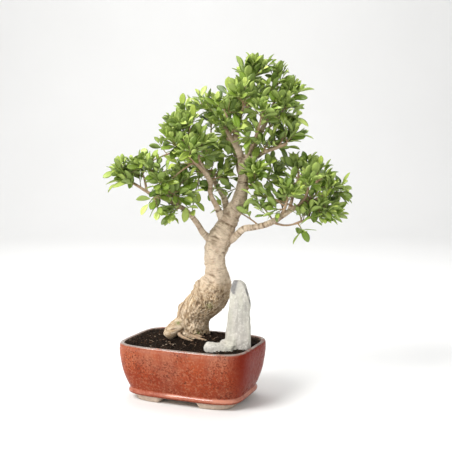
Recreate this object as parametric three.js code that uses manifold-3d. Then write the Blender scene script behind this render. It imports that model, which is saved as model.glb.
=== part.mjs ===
// A Chinese banyan (Ficus microcarpa) grown as a bonsai: a leaning trunk with surface roots, its limbs and
// leafy sprays, the soil it stands in with an upright stone, and the glazed pot with its two drain screens.
// Millimetres, +Z up. The tree is described as seen from its front and then turned into the pot's own axes.
// Heights are measured from a level inside the pot's feet, FOOT_DEPTH above the surface that it stands on.
import * as THREE from "three";
import { mergeVertices } from "three/addons/utils/BufferGeometryUtils.js";
import Module from "manifold-3d";

// Driving sizes
const POT_HALF_LENGTH = 126;
const POT_HALF_WIDTH = 87;
const POT_HEIGHT = 102;
const FOOT_DEPTH = 3.5;
const POT_SQUARENESS = 5; // exponent of the plan's superellipse
const POT_SIDES = 32;
const CORNER_CROWDING = 0.1; // brings the plan's points together at its corners
const WALL = 8;
const INSIDE_BEND = [111.5, 45]; // reach and height where the inside narrows faster towards the floor
const INSIDE_FLOOR_REACH = 103;
const FLOOR_BOTTOM = 7;
const FLOOR_TOP = 15.5;
const FOOT_LENGTH = 97; // half length and half width of the feet's outline below
const FOOT_WIDTH = 66;
const FOOT_GAP_ALONG = 39; // half the gap between the feet on the long sides, at mid-height
const FOOT_GAP_ACROSS = 21;
const FOOT_SLANT = 4;
const DRAIN_RADIUS = 10;
const DRAIN_SPACING = 100;
const SCREEN_SIZE = 32;
const SCREEN_THICKNESS = 1.2;
const SCREEN_HOLE = 10;
const SOIL_EDGE_HEIGHT = 96;
const SOIL_MOUND_HEIGHT = 17;
const GAP = 0.3; // clearance where two pieces touch
const SLIVER = 0.02; // facets thinner than this are merged into their neighbours
const FRONT_TURN = 0.39; // radians between the tree's front and the pot's long side
const LEAF_THICKNESS = 0.7;
const LEAF_SAG = 0.1; // how far a leaf's tip bends down, over its length
const GOLDEN_TURN = THREE.MathUtils.degToRad(137.5);

const UP = new THREE.Vector3(0, 0, 1);
const wasm = await Module();
wasm.setup();

// Repeatable random numbers
class Draw {
  constructor(seed) {
    this.state = seed * 7919 + 17;
    for (let i = 0; i < 4; i++) this.next();
  }
  next() {
    this.state = (this.state * 1664525 + 1013904223) % 4294967296;
    return this.state / 4294967296;
  }
  between(low, high) {
    return low + (high - low) * this.next();
  }
}

// Solids: a three.js geometry as a manifold, and back
function solidOf(geometry) {
  const bare = new THREE.BufferGeometry();
  bare.setAttribute("position", geometry.getAttribute("position").clone());
  if (geometry.index) bare.setIndex(geometry.index.clone());
  const merged = mergeVertices(bare, 1e-3);
  const triVerts = new Uint32Array(merged.index.array);
  const mesh = new wasm.Mesh({ numProp: 3, vertProperties: merged.attributes.position.array, triVerts });
  const solid = new wasm.Manifold(mesh);
  if (solid.volume() < 0) throw new Error("a solid is inside out");
  return solid;
}

function geometryOf(solid) {
  const mesh = largestBody(solid).getMesh();
  const stride = mesh.numProp;
  const position = new Float32Array(mesh.numVert * 3);
  for (let i = 0; i < mesh.numVert; i++) {
    position.set(mesh.vertProperties.subarray(i * stride, i * stride + 3), i * 3);
  }
  const geometry = new THREE.BufferGeometry();
  geometry.setAttribute("position", new THREE.BufferAttribute(position, 3));
  geometry.setIndex(new THREE.BufferAttribute(new Uint32Array(mesh.triVerts), 1));
  geometry.computeVertexNormals();
  return geometry;
}

function join(solids) {
  return solids.reduce((whole, next) => whole.add(next));
}

function largestBody(solid) {
  return solid.simplify(SLIVER).decompose().sort((a, b) => b.volume() - a.volume())[0];
}

function moveVertices(geometry, place) {
  const position = geometry.getAttribute("position");
  const point = new THREE.Vector3();
  for (let i = 0; i < position.count; i++) {
    point.fromBufferAttribute(position, i);
    place(point);
    position.setXYZ(i, point.x, point.y, point.z);
  }
  return geometry;
}

// From the tree's front view (x right, y away, z up) to the pot's axes
function fromFront([x, y, z]) {
  return new THREE.Vector3(x, y, z).applyAxisAngle(UP, FRONT_TURN);
}

// Pot: a closed lathe profile whose circles become superellipses
function potOutline(angle, reach, slimmer) {
  const c = Math.cos(angle);
  const s = Math.sin(angle);
  const n = POT_SQUARENESS;
  const shrink = (Math.abs(c) ** n + Math.abs(s) ** n) ** (-1 / n);
  const width = Math.max(0, reach - slimmer);
  return [reach * c * shrink, width * s * shrink];
}

function potRing(profile, sides = POT_SIDES, slimmer = POT_HALF_LENGTH - POT_HALF_WIDTH) {
  const points = profile.map(([reach, height]) => new THREE.Vector2(reach, height));
  const lathe = new THREE.LatheGeometry(points, sides);
  return moveVertices(lathe, (p) => {
    const reach = Math.hypot(p.x, p.z);
    const turn = Math.atan2(-p.z, p.x);
    const crowded = turn + CORNER_CROWDING * Math.sin(4 * turn);
    const [x, y] = reach < 1e-6 ? [0, 0] : potOutline(crowded, reach, slimmer);
    p.set(x, y, p.y);
  });
}

// Height and outer reach of the wall, from the base moulding to the rim
const POT_OUTSIDE = [
  [108.5, FLOOR_BOTTOM],
  [112.3, 12.5],
  [110.6, 18.5],
  [118.7, 40],
  [123.5, 63],
  [POT_HALF_LENGTH, 86],
  [125.3, 99],
  [124, POT_HEIGHT],
];

function insideReach(height) {
  const [bend, level] = INSIDE_BEND;
  const { mapLinear } = THREE.MathUtils;
  if (height > level) return mapLinear(height, level, POT_HEIGHT, bend, POT_HALF_LENGTH - WALL);
  return mapLinear(height, FLOOR_TOP, level, INSIDE_FLOOR_REACH, bend);
}

function buildPot() {
  const inside = [
    [insideReach(POT_HEIGHT), POT_HEIGHT],
    INSIDE_BEND,
    [insideReach(FLOOR_TOP) - 8, FLOOR_TOP],
    [0, FLOOR_TOP],
  ];
  const shell = [[0, FLOOR_BOTTOM], ...POT_OUTSIDE, ...inside];
  let pot = solidOf(potRing(shell));
  const low = -FOOT_DEPTH;
  const high = FLOOR_BOTTOM + 1;
  const footBand = [
    [FOOT_LENGTH, low],
    [FOOT_LENGTH + 4, high],
    [FOOT_LENGTH - 12, high],
    [FOOT_LENGTH - 11, low],
    [FOOT_LENGTH, low],
  ];
  let feet = solidOf(potRing(footBand, POT_SIDES, FOOT_LENGTH - FOOT_WIDTH));
  for (const [half, along] of [[FOOT_GAP_ALONG, true], [FOOT_GAP_ACROSS, false]]) {
    const notch = new THREE.Shape();
    notch.moveTo(-half - FOOT_SLANT, low - 1);
    notch.lineTo(half + FOOT_SLANT, low - 1);
    notch.lineTo(half - FOOT_SLANT, high + 1);
    notch.lineTo(-half + FOOT_SLANT, high + 1);
    notch.closePath();
    const bar = new THREE.ExtrudeGeometry(notch, { depth: 300, bevelEnabled: false });
    bar.translate(0, 0, -150).rotateX(Math.PI / 2);
    if (!along) bar.rotateZ(Math.PI / 2);
    feet = feet.subtract(solidOf(bar));
  }
  pot = join([pot, ...feet.decompose()]);
  for (const side of [-1, 1]) {
    const drain = new THREE.CylinderGeometry(DRAIN_RADIUS, DRAIN_RADIUS, 30, 12);
    drain.rotateX(Math.PI / 2).translate((side * DRAIN_SPACING) / 2, 0, FLOOR_BOTTOM);
    pot = pot.subtract(solidOf(drain));
  }
  return pot;
}

// Drain screens: flat plastic grids that lie over the drain holes
function buildScreen(side) {
  let screen = solidOf(new THREE.BoxGeometry(SCREEN_SIZE, SCREEN_SIZE, SCREEN_THICKNESS));
  const pitch = SCREEN_SIZE / 2.5;
  for (const row of [-0.5, 0.5]) {
    for (const column of [-0.5, 0.5]) {
      const hole = new THREE.BoxGeometry(SCREEN_HOLE, SCREEN_HOLE, 2 * SCREEN_THICKNESS);
      screen = screen.subtract(solidOf(hole.translate(column * pitch, row * pitch, 0)));
    }
  }
  const z = FLOOR_TOP + GAP + SCREEN_THICKNESS / 2;
  return screen.translate([(side * DRAIN_SPACING) / 2, 0, z]);
}

// Soil: fills the pot to just under the rim and mounds up round the trunk
const MOUND_CENTRE = fromFront([0, 20, 0]);

function soilHeight(x, y) {
  const away = Math.hypot((x - MOUND_CENTRE.x) / 95, (y - MOUND_CENTRE.y) / 62);
  const mound = SOIL_MOUND_HEIGHT * Math.exp(-away * away * 1.6);
  return SOIL_EDGE_HEIGHT + mound + 0.9 * Math.sin(x / 11) * Math.sin(y / 9 + 1);
}

function buildSoil() {
  const reach = (height) => insideReach(height) - GAP - 0.15;
  const top = SOIL_EDGE_HEIGHT;
  const fillet = reach(FLOOR_TOP) - 8;
  const profile = [
    [0, FLOOR_TOP + GAP],
    [fillet, FLOOR_TOP + GAP],
    [reach(INSIDE_BEND[1]), INSIDE_BEND[1]],
    [reach(top), top],
    [86, top],
    [0, top],
  ];
  const soil = moveVertices(potRing(profile), (p) => {
    if (p.z < top - 1 || Math.hypot(p.x / (reach(top) - 1), p.y / (reach(top) - 40)) > 1) return;
    p.z = soilHeight(p.x, p.y);
  });
  let solid = solidOf(soil);
  for (const side of [-1, 1]) {
    const pocket = new THREE.BoxGeometry(SCREEN_SIZE + 2 * GAP, SCREEN_SIZE + 2 * GAP, 6);
    pocket.translate((side * DRAIN_SPACING) / 2, 0, FLOOR_TOP + SCREEN_THICKNESS + 2 * GAP - 3);
    solid = solid.subtract(solidOf(pocket));
  }
  return solid;
}

// Wood. A limb is a cylinder bent along a smooth line through [x, y, z, radius] points of the front view.
class LimbLine {
  constructor(points) {
    this.points = points;
    this.curve = new THREE.CatmullRomCurve3(points.map(fromFront), false, "centripetal");
  }
  centre(t) {
    return this.curve.getPoint(t);
  }
  radius(t) {
    const at = t * (this.points.length - 1);
    const i = Math.min(Math.floor(at), this.points.length - 2);
    return THREE.MathUtils.lerp(this.points[i][3], this.points[i + 1][3], at - i);
  }
}

function buildLimb(points, sides, steps, grow, relief = () => 0) {
  const line = new LimbLine(points);
  const frames = [];
  let side = new THREE.Vector3(1, 0, 0);
  for (let i = 0; i <= steps; i++) {
    const t = i / steps;
    const ahead = line.centre(Math.min(1, t + 0.01)).sub(line.centre(Math.max(0, t - 0.01))).normalize();
    side = side.clone().addScaledVector(ahead, -side.dot(ahead)).normalize();
    frames.push({ t, centre: line.centre(t), side, over: ahead.clone().cross(side), radius: line.radius(t) });
  }
  const limb = new THREE.CylinderGeometry(1, 1, steps, sides, steps);
  moveVertices(limb, (p) => {
    const frame = frames[Math.round(p.y + steps / 2)];
    const angle = Math.atan2(p.x, p.z);
    const reach = Math.hypot(p.x, p.z) < 0.5 ? 0 : frame.radius * (1 + relief(angle, frame)) + grow;
    p.copy(frame.centre);
    p.addScaledVector(frame.side, reach * Math.cos(angle)).addScaledVector(frame.over, reach * Math.sin(angle));
  });
  return solidOf(limb);
}

const TRUNK = [
  [-4, 23, 84, 29],
  [-3, 22, 110, 31.5],
  [-2, 21, 128, 29.5],
  [2.5, 20, 147, 28.5],
  [14, 18, 164, 30],
  [27, 16.5, 177, 33],
  [36, 14, 194, 32.5],
  [41, 11.5, 208, 28],
  [43, 10, 220, 22.5],
  [42, 10, 239, 19],
  [41, 12, 256, 18.5],
  [43, 13, 271, 21], [48, 14, 287, 22.5], [55, 15, 303, 20], [62.5, 16, 318, 17.5], [68.5, 17, 331, 17],
  [77, 17, 344, 15],
  [85, 16, 359, 13],
  [90, 14, 380, 11],
  [93, 14, 400, 10.5],
  [94, 15, 420, 11],
  [94, 16, 438, 10],
];

// Bulges seen from a step away: [angle round the trunk, height, angular spread, height spread, rise]
const TRUNK_KNOTS = [
  [3.1, 147, 0.4, 5, 0.36],
  [0.5, 214, 0.6, 14, 0.1],
  [5.3, 290, 0.7, 9, 0.1],
  [2.9, 188, 0.6, 9, 0.16],
  [4.4, 364, 0.6, 7, 0.12],
];

function trunkRelief(angle, frame) {
  const z = frame.centre.z;
  let rise = 0.035 * Math.sin(5 * angle + z / 17) + 0.03 * Math.sin(3 * angle - z / 26 + 1);
  for (const [around, height, spread, tall, amount] of TRUNK_KNOTS) {
    const turn = Math.atan2(Math.sin(angle - around), Math.cos(angle - around)) / spread;
    rise += amount * Math.exp(-turn * turn - ((z - height) / tall) ** 2);
  }
  const flare = Math.exp(-Math.max(0, z - 100) / 14);
  return rise + flare * (0.06 + 0.08 * Math.sin(4 * angle + 0.6));
}

// Primary limbs and surface roots, then the finer limbs that carry the sprays
const PRIMARY = {
  left_low: [
    [40, 14, 282, 8.4], [20, 8, 300.5, 6], [10, 0, 317.5, 5.2], [-3, -10, 335, 4.8], [-14, -16, 347, 4.5],
    [-26, -22, 354, 4.2], [-39, -26, 361, 3.7], [-56, -29, 369, 3.2], [-73, -30, 375, 2.9], [-84, -31, 382, 2.6],
    [-97, -32, 390, 2.1], [-112, -32, 399, 1.6],
  ],
  right_low: [
    [50, 13, 281, 8.4], [63, 11, 285, 7.6], [71, 8, 289, 6.8], [81, 2, 298, 6.5], [94, -4, 310, 6.2],
    [111, -8, 313, 5.8], [130, -12, 317.5, 5.7], [147, -14, 325, 5.6], [161, -16, 334, 5.3], [174, -18, 343, 4.7],
    [190, -18, 352, 4], [207, -18, 358, 3.3], [224, -16, 365, 2.8], [245, -14, 376, 2.2], [262, -12, 387, 1.7],
  ],
  left_front_stem: [
    [60, 16, 318, 9], [50, 11, 336, 7], [43, 7, 352, 5], [36, 1, 366, 4.4], [32, -6, 380, 4.3],
    [33, -10, 392, 4.5], [28, -14, 405, 4.7], [21, -18, 416, 4.4], [14, -22, 431, 3.9], [7, -26, 445, 3.4],
    [-3, -30, 459, 2.7], [-17, -33, 474, 2],
  ],
  left_back_stem: [
    [66, 18, 328, 9], [61, 26, 350, 6.4], [58, 30, 363, 5.9], [52, 33, 376, 5.6], [44, 36, 387, 5],
    [36, 40, 399, 4.7], [25, 46, 414, 4.1], [14, 52, 431, 3.4], [3, 56, 452, 2.8], [-6, 59, 476, 2.1],
    [-8, 58, 500, 1.6],
  ],
  crown_left: [
    [94, 16, 424, 8.6], [86, 14, 447, 6.5], [79, 14, 466, 5.5], [79, 12, 490, 4.6], [87, 10, 517, 4],
    [94, 10, 544, 3.2], [99, 10, 568, 2.4], [101, 10, 588, 1.7],
  ],
  crown_right: [
    [94, 16, 424, 8.6], [105, 20, 450, 6.9], [116, 24, 468, 5.5], [127, 26, 490, 4.6], [138, 28, 512, 3.6],
    [148, 28, 536, 2.6], [154, 26, 556, 1.8],
  ],
  crown_side: [
    [92, 15, 426, 7], [114, 4, 441, 5], [133, -10, 451, 4], [152, -20, 458, 3], [168, -24, 464, 2.1],
  ],
  root_left: [
    [-8, 20, 130, 20], [-21, 10, 129, 15.5], [-32, 3, 124, 14], [-41, 0, 117, 12.5], [-49, -2, 108, 8.5],
  ],
  root_front: [
    [-14, 4, 114, 10], [-4, -5, 109, 7], [8, -11, 104, 5], [18, -15, 98, 3.5],
  ],
  root_right: [
    [6, 20, 116, 15], [16, 13, 110, 9], [24, 9, 104, 6], [30, 6, 97, 4],
  ],
  root_back: [
    [-4, 32, 120, 16], [-8, 48, 112, 11], [-14, 60, 105, 8], [-19, 70, 96, 5],
  ],
};
const ROOTS = ["root_left", "root_front", "root_right", "root_back"];

const FINER = [
  [[-37, -25, 360, 3], [-45, -31, 375, 2.5], [-52, -39, 392, 2], [-57, -45, 402, 1.5]],
  [[-81, -31, 381, 2.4], [-84, -22, 395, 2], [-88, -13, 407, 1.5]],
  [[-24, -21, 353, 3], [-30, -12, 366, 2.2], [-37, -6, 376, 1.5]],
  [[22, -18, 414, 3.6], [8, -38, 430, 2.6], [-3, -55, 443, 1.6]],
  [[8, -26, 444, 2.8], [-14, -35, 452, 2.2], [-32, -42, 464, 1.5]],
  [[27, 45, 412, 3.6], [12, 64, 421, 2.6], [-2, 76, 429, 1.6]],
  [[4, 56, 450, 2.6], [-12, 62, 470, 2.1], [-24, 66, 484, 1.5]],
  [[15, 51, 429, 3], [25, 58, 452, 2.4], [33, 58, 482, 1.6]],
  [[80, 14, 464, 4.2], [67, 36, 472, 3], [63, 58, 475, 2.2], [64, 74, 477, 1.6]],
  [[86, 15, 448, 5.6], [77, 12, 464, 4.8], [68, 10, 479, 4], [60, 13, 493, 3], [53, 20, 507, 2.2], [49, 30, 519, 1.5]],
  [[79, 12, 490, 3.6], [66, -2, 508, 2.6], [58, -7, 526, 1.6]],
  [[87, 10, 515, 3.2], [90, -18, 523, 2.4], [92, -38, 532, 1.6]],
  [[88, 10, 520, 3], [100, 34, 532, 2.3], [116, 54, 545, 1.6]],
  [[106, 20, 450, 4], [112, -8, 470, 3], [118, -34, 490, 2.2], [121, -50, 504, 1.6]],
  [[118, 24, 470, 4], [130, 46, 478, 3], [140, 60, 494, 2.2], [152, 74, 506, 1.6]],
  [[138, 28, 510, 2.8], [160, 24, 520, 2.2], [172, 22, 534, 1.6]],
  [[93, 14, 398, 5], [84, 40, 418, 3.6], [82, 62, 442, 2.8], [84, 74, 476, 2.1], [86, 78, 508, 1.5]],
  [[90, 14, 378, 4], [104, 4, 387, 2.6], [112, -5, 398, 1.6]],
  [[94, 15, 414, 5], [112, 30, 413, 3.6], [130, 40, 406, 2.6], [143, 43, 399, 1.7]],
  [[160, -16, 333, 3.8], [167, -25, 350, 2.6], [170, -34, 362, 1.7]],
  [[175, -18, 344, 3.6], [182, -4, 366, 2.8], [190, 6, 390, 2.2], [195, 9, 414, 1.6]],
  [[191, -18, 352, 3], [203, -33, 370, 2.2], [206, -43, 384, 1.5]],
  [[208, -18, 359, 2.6], [221, -12, 384, 2], [227, -9, 404, 1.5]],
  [[189, -18, 351, 3], [207, 8, 360, 2.4], [221, 28, 366, 1.9], [230, 40, 370, 1.5]],
  [[144, -14, 323, 2.4], [168, -19, 318, 1.6], [190, -22, 322, 1.5], [207, -26, 330, 1.4], [226, -30, 338, 1.3]],
];

function buildWood(grow) {
  const parts = [buildLimb(TRUNK, 16, 25, grow, trunkRelief)];
  for (const [name, points] of Object.entries(PRIMARY)) {
    const relief = (angle, frame) => 0.06 * Math.sin(3 * angle + 9 * frame.t);
    const root = ROOTS.includes(name);
    parts.push(buildLimb(points, root ? 7 : 6, points.length - 1, grow, relief));
  }
  FINER.forEach((points) => parts.push(buildLimb(points, 4, points.length - 1, grow)));
  return join(parts);
}

// Stone: an upright slab with a low toe, each a stack of rough outlines [centre x, y, z, half x, half y]
const STONE_SLAB = [
  [86, -42, 84, 20, 13], [85, -42, 96, 22, 15], [85, -43, 112, 20, 13], [85, -43, 134, 20, 12],
  [86, -43, 160, 18.5, 12], [85, -43, 184, 17, 11], [83, -42, 204, 15, 10], [80, -42, 221, 7, 6],
];
const STONE_TOE = [
  [48, -54, 84, 22, 11], [48, -55, 94, 25, 13], [47, -56, 103, 24, 11], [38, -58, 111, 14, 7.5],
];
const STONE_RAMP = [
  [62, -34, 84, 19, 9], [62, -36, 100, 18, 9], [68, -39, 122, 8, 7],
];

function buildRock(outlines, sides, seed, grow) {
  const draw = new Draw(seed);
  const corners = Array.from({ length: sides }, () => draw.between(0.86, 1.12));
  const rock = new THREE.CylinderGeometry(1, 1, outlines.length - 1, sides, outlines.length - 1);
  const rows = outlines.map(() => Array.from({ length: sides }, () => draw.between(0.93, 1.06)));
  moveVertices(rock, (p) => {
    const row = Math.round(p.y + (outlines.length - 1) / 2);
    const [x, y, z, halfX, halfY] = outlines[row];
    const rim = Math.hypot(p.x, p.z) > 0.5;
    const corner = Math.round((Math.atan2(p.x, p.z) / (2 * Math.PI)) * sides + sides) % sides;
    const rough = corners[corner] * rows[row][corner];
    const [c, s] = rim ? [p.z, p.x] : [0, 0];
    const lift = row === 0 ? -grow : row === outlines.length - 1 ? grow : 0;
    const across = x + c * (halfX * rough + grow);
    p.copy(fromFront([across, y + s * (halfY * rough + grow), z + lift + (rim ? c * 2 * (rough - 1) : 0)]));
  });
  return solidOf(rock);
}

function buildStone(grow) {
  return join([
    buildRock(STONE_SLAB, 9, 5, grow),
    buildRock(STONE_TOE, 8, 8, grow),
    buildRock(STONE_RAMP, 7, 3, grow),
  ]);
}

// Foliage. Each spray is named for where its tip is, in the front view.
const SPRAY_TIPS = [
  [-130, -32, 418], [-118, -14, 412], [-92, -34, 424], [-74, -60, 424], [-56, -58, 396], [-112, -40, 397],
  [-38, -28, 342], [-40, 6, 384], [-16, -18, 402], [-32, -46, 480], [-22, -50, 499], [-7, -22, 502],
  [-26, -62, 460], [0, -80, 452], [24, -50, 468], [-12, 48, 525], [14, 30, 534], [-36, 72, 502],
  [-12, 88, 440], [34, 62, 520], [112, 8, 602], [100, 26, 586], [126, -2, 602], [92, -6, 564],
  [84, -58, 548], [157, 14, 592], [182, 26, 562], [168, -4, 530], [124, -66, 522], [132, 72, 562],
  [86, 88, 534], [168, 92, 520], [62, 92, 482], [182, -14, 480], [114, -22, 414], [155, 44, 408],
  [172, -44, 376], [192, 12, 424], [206, -60, 396], [222, -2, 414], [252, -22, 386], [268, -10, 370],
  [242, -44, 350], [240, 54, 384], [197, -44, 310],
];
const BASE_SPACING = 6;
const SHORTEST_SHOOT = 18;
const LEAF_PLACES = [0.3, 0.42, 0.53, 0.63, 0.72, 0.8, 0.88, 0.95, 1];
const LEAF_ORDER = [8, 5, 2, 6, 3, 7, 4, 1, 0]; // the leaves at the tip and spread along the shoot come first
const LEAF_TURNS = [0, 2]; // where a leaf has no room, another one is tried, turned so far about the shoot
const LEAVES_A_SPRAY = 6;

// Each spray grows from its own place on the wood: the nearest free one that leaves it room for a shoot,
// rather below its tip than above it
const CARRIERS = [
  ...Object.entries(PRIMARY).filter(([name]) => !ROOTS.includes(name)).map(([, points]) => points),
  ...FINER,
].map((points) => new LimbLine(points));
const PLACES = CARRIERS.flatMap((line) => [0.4, 0.5, 0.6, 0.7, 0.8, 0.9, 0.98].map((t) => line.centre(t)));

function sprayBases(tips) {
  const taken = [];
  return tips.map((tip) => {
    const cost = (at) => {
      const reach = at.distanceTo(tip);
      return Math.max(reach, 2 * SHORTEST_SHOOT - reach) + 0.6 * Math.max(0, at.z - tip.z + 12);
    };
    const free = PLACES.filter((at) => taken.every((other) => other.distanceTo(at) > BASE_SPACING));
    const best = free.reduce((a, b) => (cost(b) < cost(a) ? b : a));
    taken.push(best);
    return best;
  });
}

function crossways(ahead) {
  const side = new THREE.Vector3().crossVectors(ahead, UP);
  if (side.length() < 0.2) side.set(1, 0, 0).addScaledVector(ahead, -ahead.x);
  side.normalize();
  return [side, new THREE.Vector3().crossVectors(side, ahead)];
}

function radial(ahead, angle) {
  const [side, over] = crossways(ahead);
  return side.multiplyScalar(Math.cos(angle)).addScaledVector(over, Math.sin(angle));
}

function growLeaf(at, ahead, angle, age, draw) {
  const opening = THREE.MathUtils.degToRad(age === 0 ? 20 : draw.between(30, 62));
  const direction = ahead.clone().multiplyScalar(Math.cos(opening));
  direction.addScaledVector(radial(ahead, angle), Math.sin(opening));
  direction.addScaledVector(UP, age === 0 ? 0.35 : 0.42 - 0.06 * age).normalize();
  const [, over] = crossways(direction);
  const normal = over.applyAxisAngle(direction, draw.between(-1, 1));
  const length = (age === 0 ? 24 : 29) + draw.between(-3, 5);
  const width = length * draw.between(0.44, 0.55);
  return { at, direction, normal, length, width, age };
}

function growSpray(base, tip, seed) {
  const draw = new Draw(seed);
  const bend = base.clone().lerp(tip, 0.5).addScaledVector(UP, 0.12 * base.distanceTo(tip));
  const axis = new THREE.QuadraticBezierCurve3(base, bend, tip);
  const start = draw.between(0, 6.28);
  const grow = (turn) => LEAF_PLACES.map((t, k) => {
    const age = LEAF_PLACES.length - 1 - k;
    return growLeaf(axis.getPoint(t), axis.getTangent(t), start + turn + k * GOLDEN_TURN, age, draw);
  });
  const sets = LEAF_TURNS.map(grow);
  return { axis, leaves: sets.flatMap((leaves) => LEAF_ORDER.map((place) => leaves[place])) };
}

function buildShoot(axis, grow) {
  const shoot = new THREE.CylinderGeometry(1, 1, 2, 3, 2);
  moveVertices(shoot, (p) => {
    const t = (p.y + 1) / 2;
    const [side, over] = crossways(axis.getTangent(t));
    const reach = Math.hypot(p.x, p.z) < 0.5 ? 0 : THREE.MathUtils.lerp(1.9, 1.35, t) + grow;
    const angle = Math.atan2(p.x, p.z);
    p.copy(axis.getPoint(t));
    p.addScaledVector(side, -reach * Math.cos(angle)).addScaledVector(over, reach * Math.sin(angle));
  });
  return solidOf(shoot);
}

// A blade: a hexagonal outline of even thickness, bent down towards its tip
function buildLeaf({ at, direction, normal, length, width }, grow) {
  const half = width / 2 + grow;
  const outline = [[-0.2, 0], [0.34, -0.94], [0.72, -0.82], [1, 0], [0.72, 0.82], [0.34, 0.94]];
  const faces = [[0, 1, 5], [1, 2, 5], [2, 4, 5], [2, 3, 4]];
  const side = new THREE.Vector3().crossVectors(normal, direction);
  const positions = [];
  for (const level of [1, -1]) {
    for (const [along, across] of outline) {
      const x = along < 0 ? along : along * (length + grow);
      const sag = (LEAF_SAG * x * x) / length;
      const p = at.clone().addScaledVector(direction, x).addScaledVector(side, across * half);
      p.addScaledVector(normal, level * (LEAF_THICKNESS / 2 + grow) - sag);
      positions.push(p.x, p.y, p.z);
    }
  }
  const index = [];
  for (const [a, b, c] of faces) index.push(a, b, c, a + 6, c + 6, b + 6);
  for (let i = 0; i < 6; i++) {
    const j = (i + 1) % 6;
    index.push(i, i + 6, j + 6, i, j + 6, j);
  }
  const blade = new THREE.BufferGeometry();
  blade.setAttribute("position", new THREE.Float32BufferAttribute(positions, 3));
  blade.setIndex(index);
  return solidOf(blade);
}

// What stands where, so that no twig or leaf crosses another node
class Occupied {
  constructor() {
    this.items = [];
  }
  add(owner, solid) {
    this.items.push({ owner, solid, box: solid.boundingBox() });
  }
  blocked(solid, ignore) {
    const box = solid.boundingBox();
    const apart = (other) => [0, 1, 2].some((k) => box.min[k] > other.max[k] || box.max[k] < other.min[k]);
    const hit = (item) => !ignore(item) && !apart(item.box) && solid.intersect(item.solid).volume() > 1e-6;
    return this.items.some(hit);
  }
}

function buildSprays(woodGrown, occupied) {
  const tips = SPRAY_TIPS.map(fromFront);
  const bases = sprayBases(tips);
  const sprays = tips.map((tip, i) => growSpray(bases[i], tip, i + 1));
  sprays.forEach(({ axis }, i) => {
    if (occupied.blocked(buildShoot(axis, GAP), ({ owner }) => owner === "wood")) {
      throw new Error("shoot " + (i + 1) + " crosses another");
    }
    occupied.add(i, buildShoot(axis, 0));
  });
  return sprays.map(({ axis, leaves }, i) => {
    const parts = [buildShoot(axis, 0)];
    const shoot = occupied.items.find(({ owner }) => owner === i);
    for (const leaf of leaves) {
      if (parts.length > LEAVES_A_SPRAY) break;
      if (occupied.blocked(buildLeaf(leaf, GAP), (item) => item === shoot)) continue;
      const blade = buildLeaf(leaf, 0);
      occupied.add(i, blade);
      parts.push(blade);
    }
    return largestBody(join(parts).subtract(woodGrown));
  });
}

// Assembly
const stone = buildStone(0);
const wood = buildWood(0);
const woodGrown = buildWood(GAP);
const pot = buildPot();
const soil = largestBody(buildSoil().subtract(woodGrown).subtract(buildStone(GAP)));
const occupied = new Occupied();
occupied.add("wood", woodGrown);
occupied.add("stone", stone);
occupied.add("pot", pot);
const sprays = buildSprays(woodGrown, occupied);

const MATERIALS = {
  glaze: new THREE.MeshStandardMaterial({ color: 0xa8452f, roughness: 0.25 }),
  screen: new THREE.MeshStandardMaterial({ color: 0x26282a, roughness: 0.6 }),
  soil: new THREE.MeshStandardMaterial({ color: 0x2c221c, roughness: 0.95 }),
  bark: new THREE.MeshStandardMaterial({ color: 0xb7a184, roughness: 0.85 }),
  stone: new THREE.MeshStandardMaterial({ color: 0xb9b7aa, roughness: 0.9 }),
  leaf: new THREE.MeshStandardMaterial({ color: 0x4f7a26, roughness: 0.4 }),
};

const bonsai = new THREE.Group();
function addPiece(name, solid, material) {
  const mesh = new THREE.Mesh(geometryOf(solid), material);
  mesh.name = name;
  bonsai.add(mesh);
}
addPiece("pot", pot, MATERIALS.glaze);
addPiece("drain_screen_left", buildScreen(-1), MATERIALS.screen);
addPiece("drain_screen_right", buildScreen(1), MATERIALS.screen);
addPiece("soil", soil, MATERIALS.soil);
addPiece("trunk", wood, MATERIALS.bark);
addPiece("stone", stone, MATERIALS.stone);
sprays.forEach((spray, i) => {
  addPiece("spray_" + String(i + 1).padStart(2, "0"), spray, MATERIALS.leaf);
});

// The origin is under the middle of the whole object, on the surface it stands on
const box = new THREE.Box3().setFromObject(bonsai);
const middle = box.getCenter(new THREE.Vector3());
bonsai.position.set(-middle.x, -middle.y, FOOT_DEPTH);

export default bonsai;
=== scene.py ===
"""A Chinese banyan (Ficus microcarpa) grown as a bonsai, in a glazed pot with soil and an upright stone.

Shapes are worked out in millimetres in the pot's own axes, as rows of points in numpy arrays, and are then
moved to the frame and turned into metres. The tree is described as seen from its front: x to the right,
y away from the viewer and z up. Heights are measured from a level inside the pot's feet, FOOT_DEPTH above
the surface that it stands on.
"""

import math

import bpy
import numpy as np
from bpy.props import FloatProperty, FloatVectorProperty, IntProperty, PointerProperty
from bpy.types import Operator, Panel, PropertyGroup
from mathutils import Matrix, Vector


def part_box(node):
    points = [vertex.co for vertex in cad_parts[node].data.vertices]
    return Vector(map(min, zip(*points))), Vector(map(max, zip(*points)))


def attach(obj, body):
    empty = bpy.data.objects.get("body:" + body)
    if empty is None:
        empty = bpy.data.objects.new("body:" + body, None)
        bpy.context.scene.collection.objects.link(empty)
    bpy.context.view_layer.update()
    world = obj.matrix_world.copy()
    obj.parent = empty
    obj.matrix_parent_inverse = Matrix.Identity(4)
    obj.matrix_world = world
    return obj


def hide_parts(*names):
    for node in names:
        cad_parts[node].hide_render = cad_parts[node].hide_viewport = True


bl_info = {
    "name": "Chinese Banyan Bonsai",
    "version": (1, 0, 0),
    "blender": (4, 5, 0),
    "location": "3D View > Sidebar > Bonsai",
    "description": "Grows a banyan bonsai with its pot, soil and stone",
    "category": "Add Mesh",
}

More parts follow.
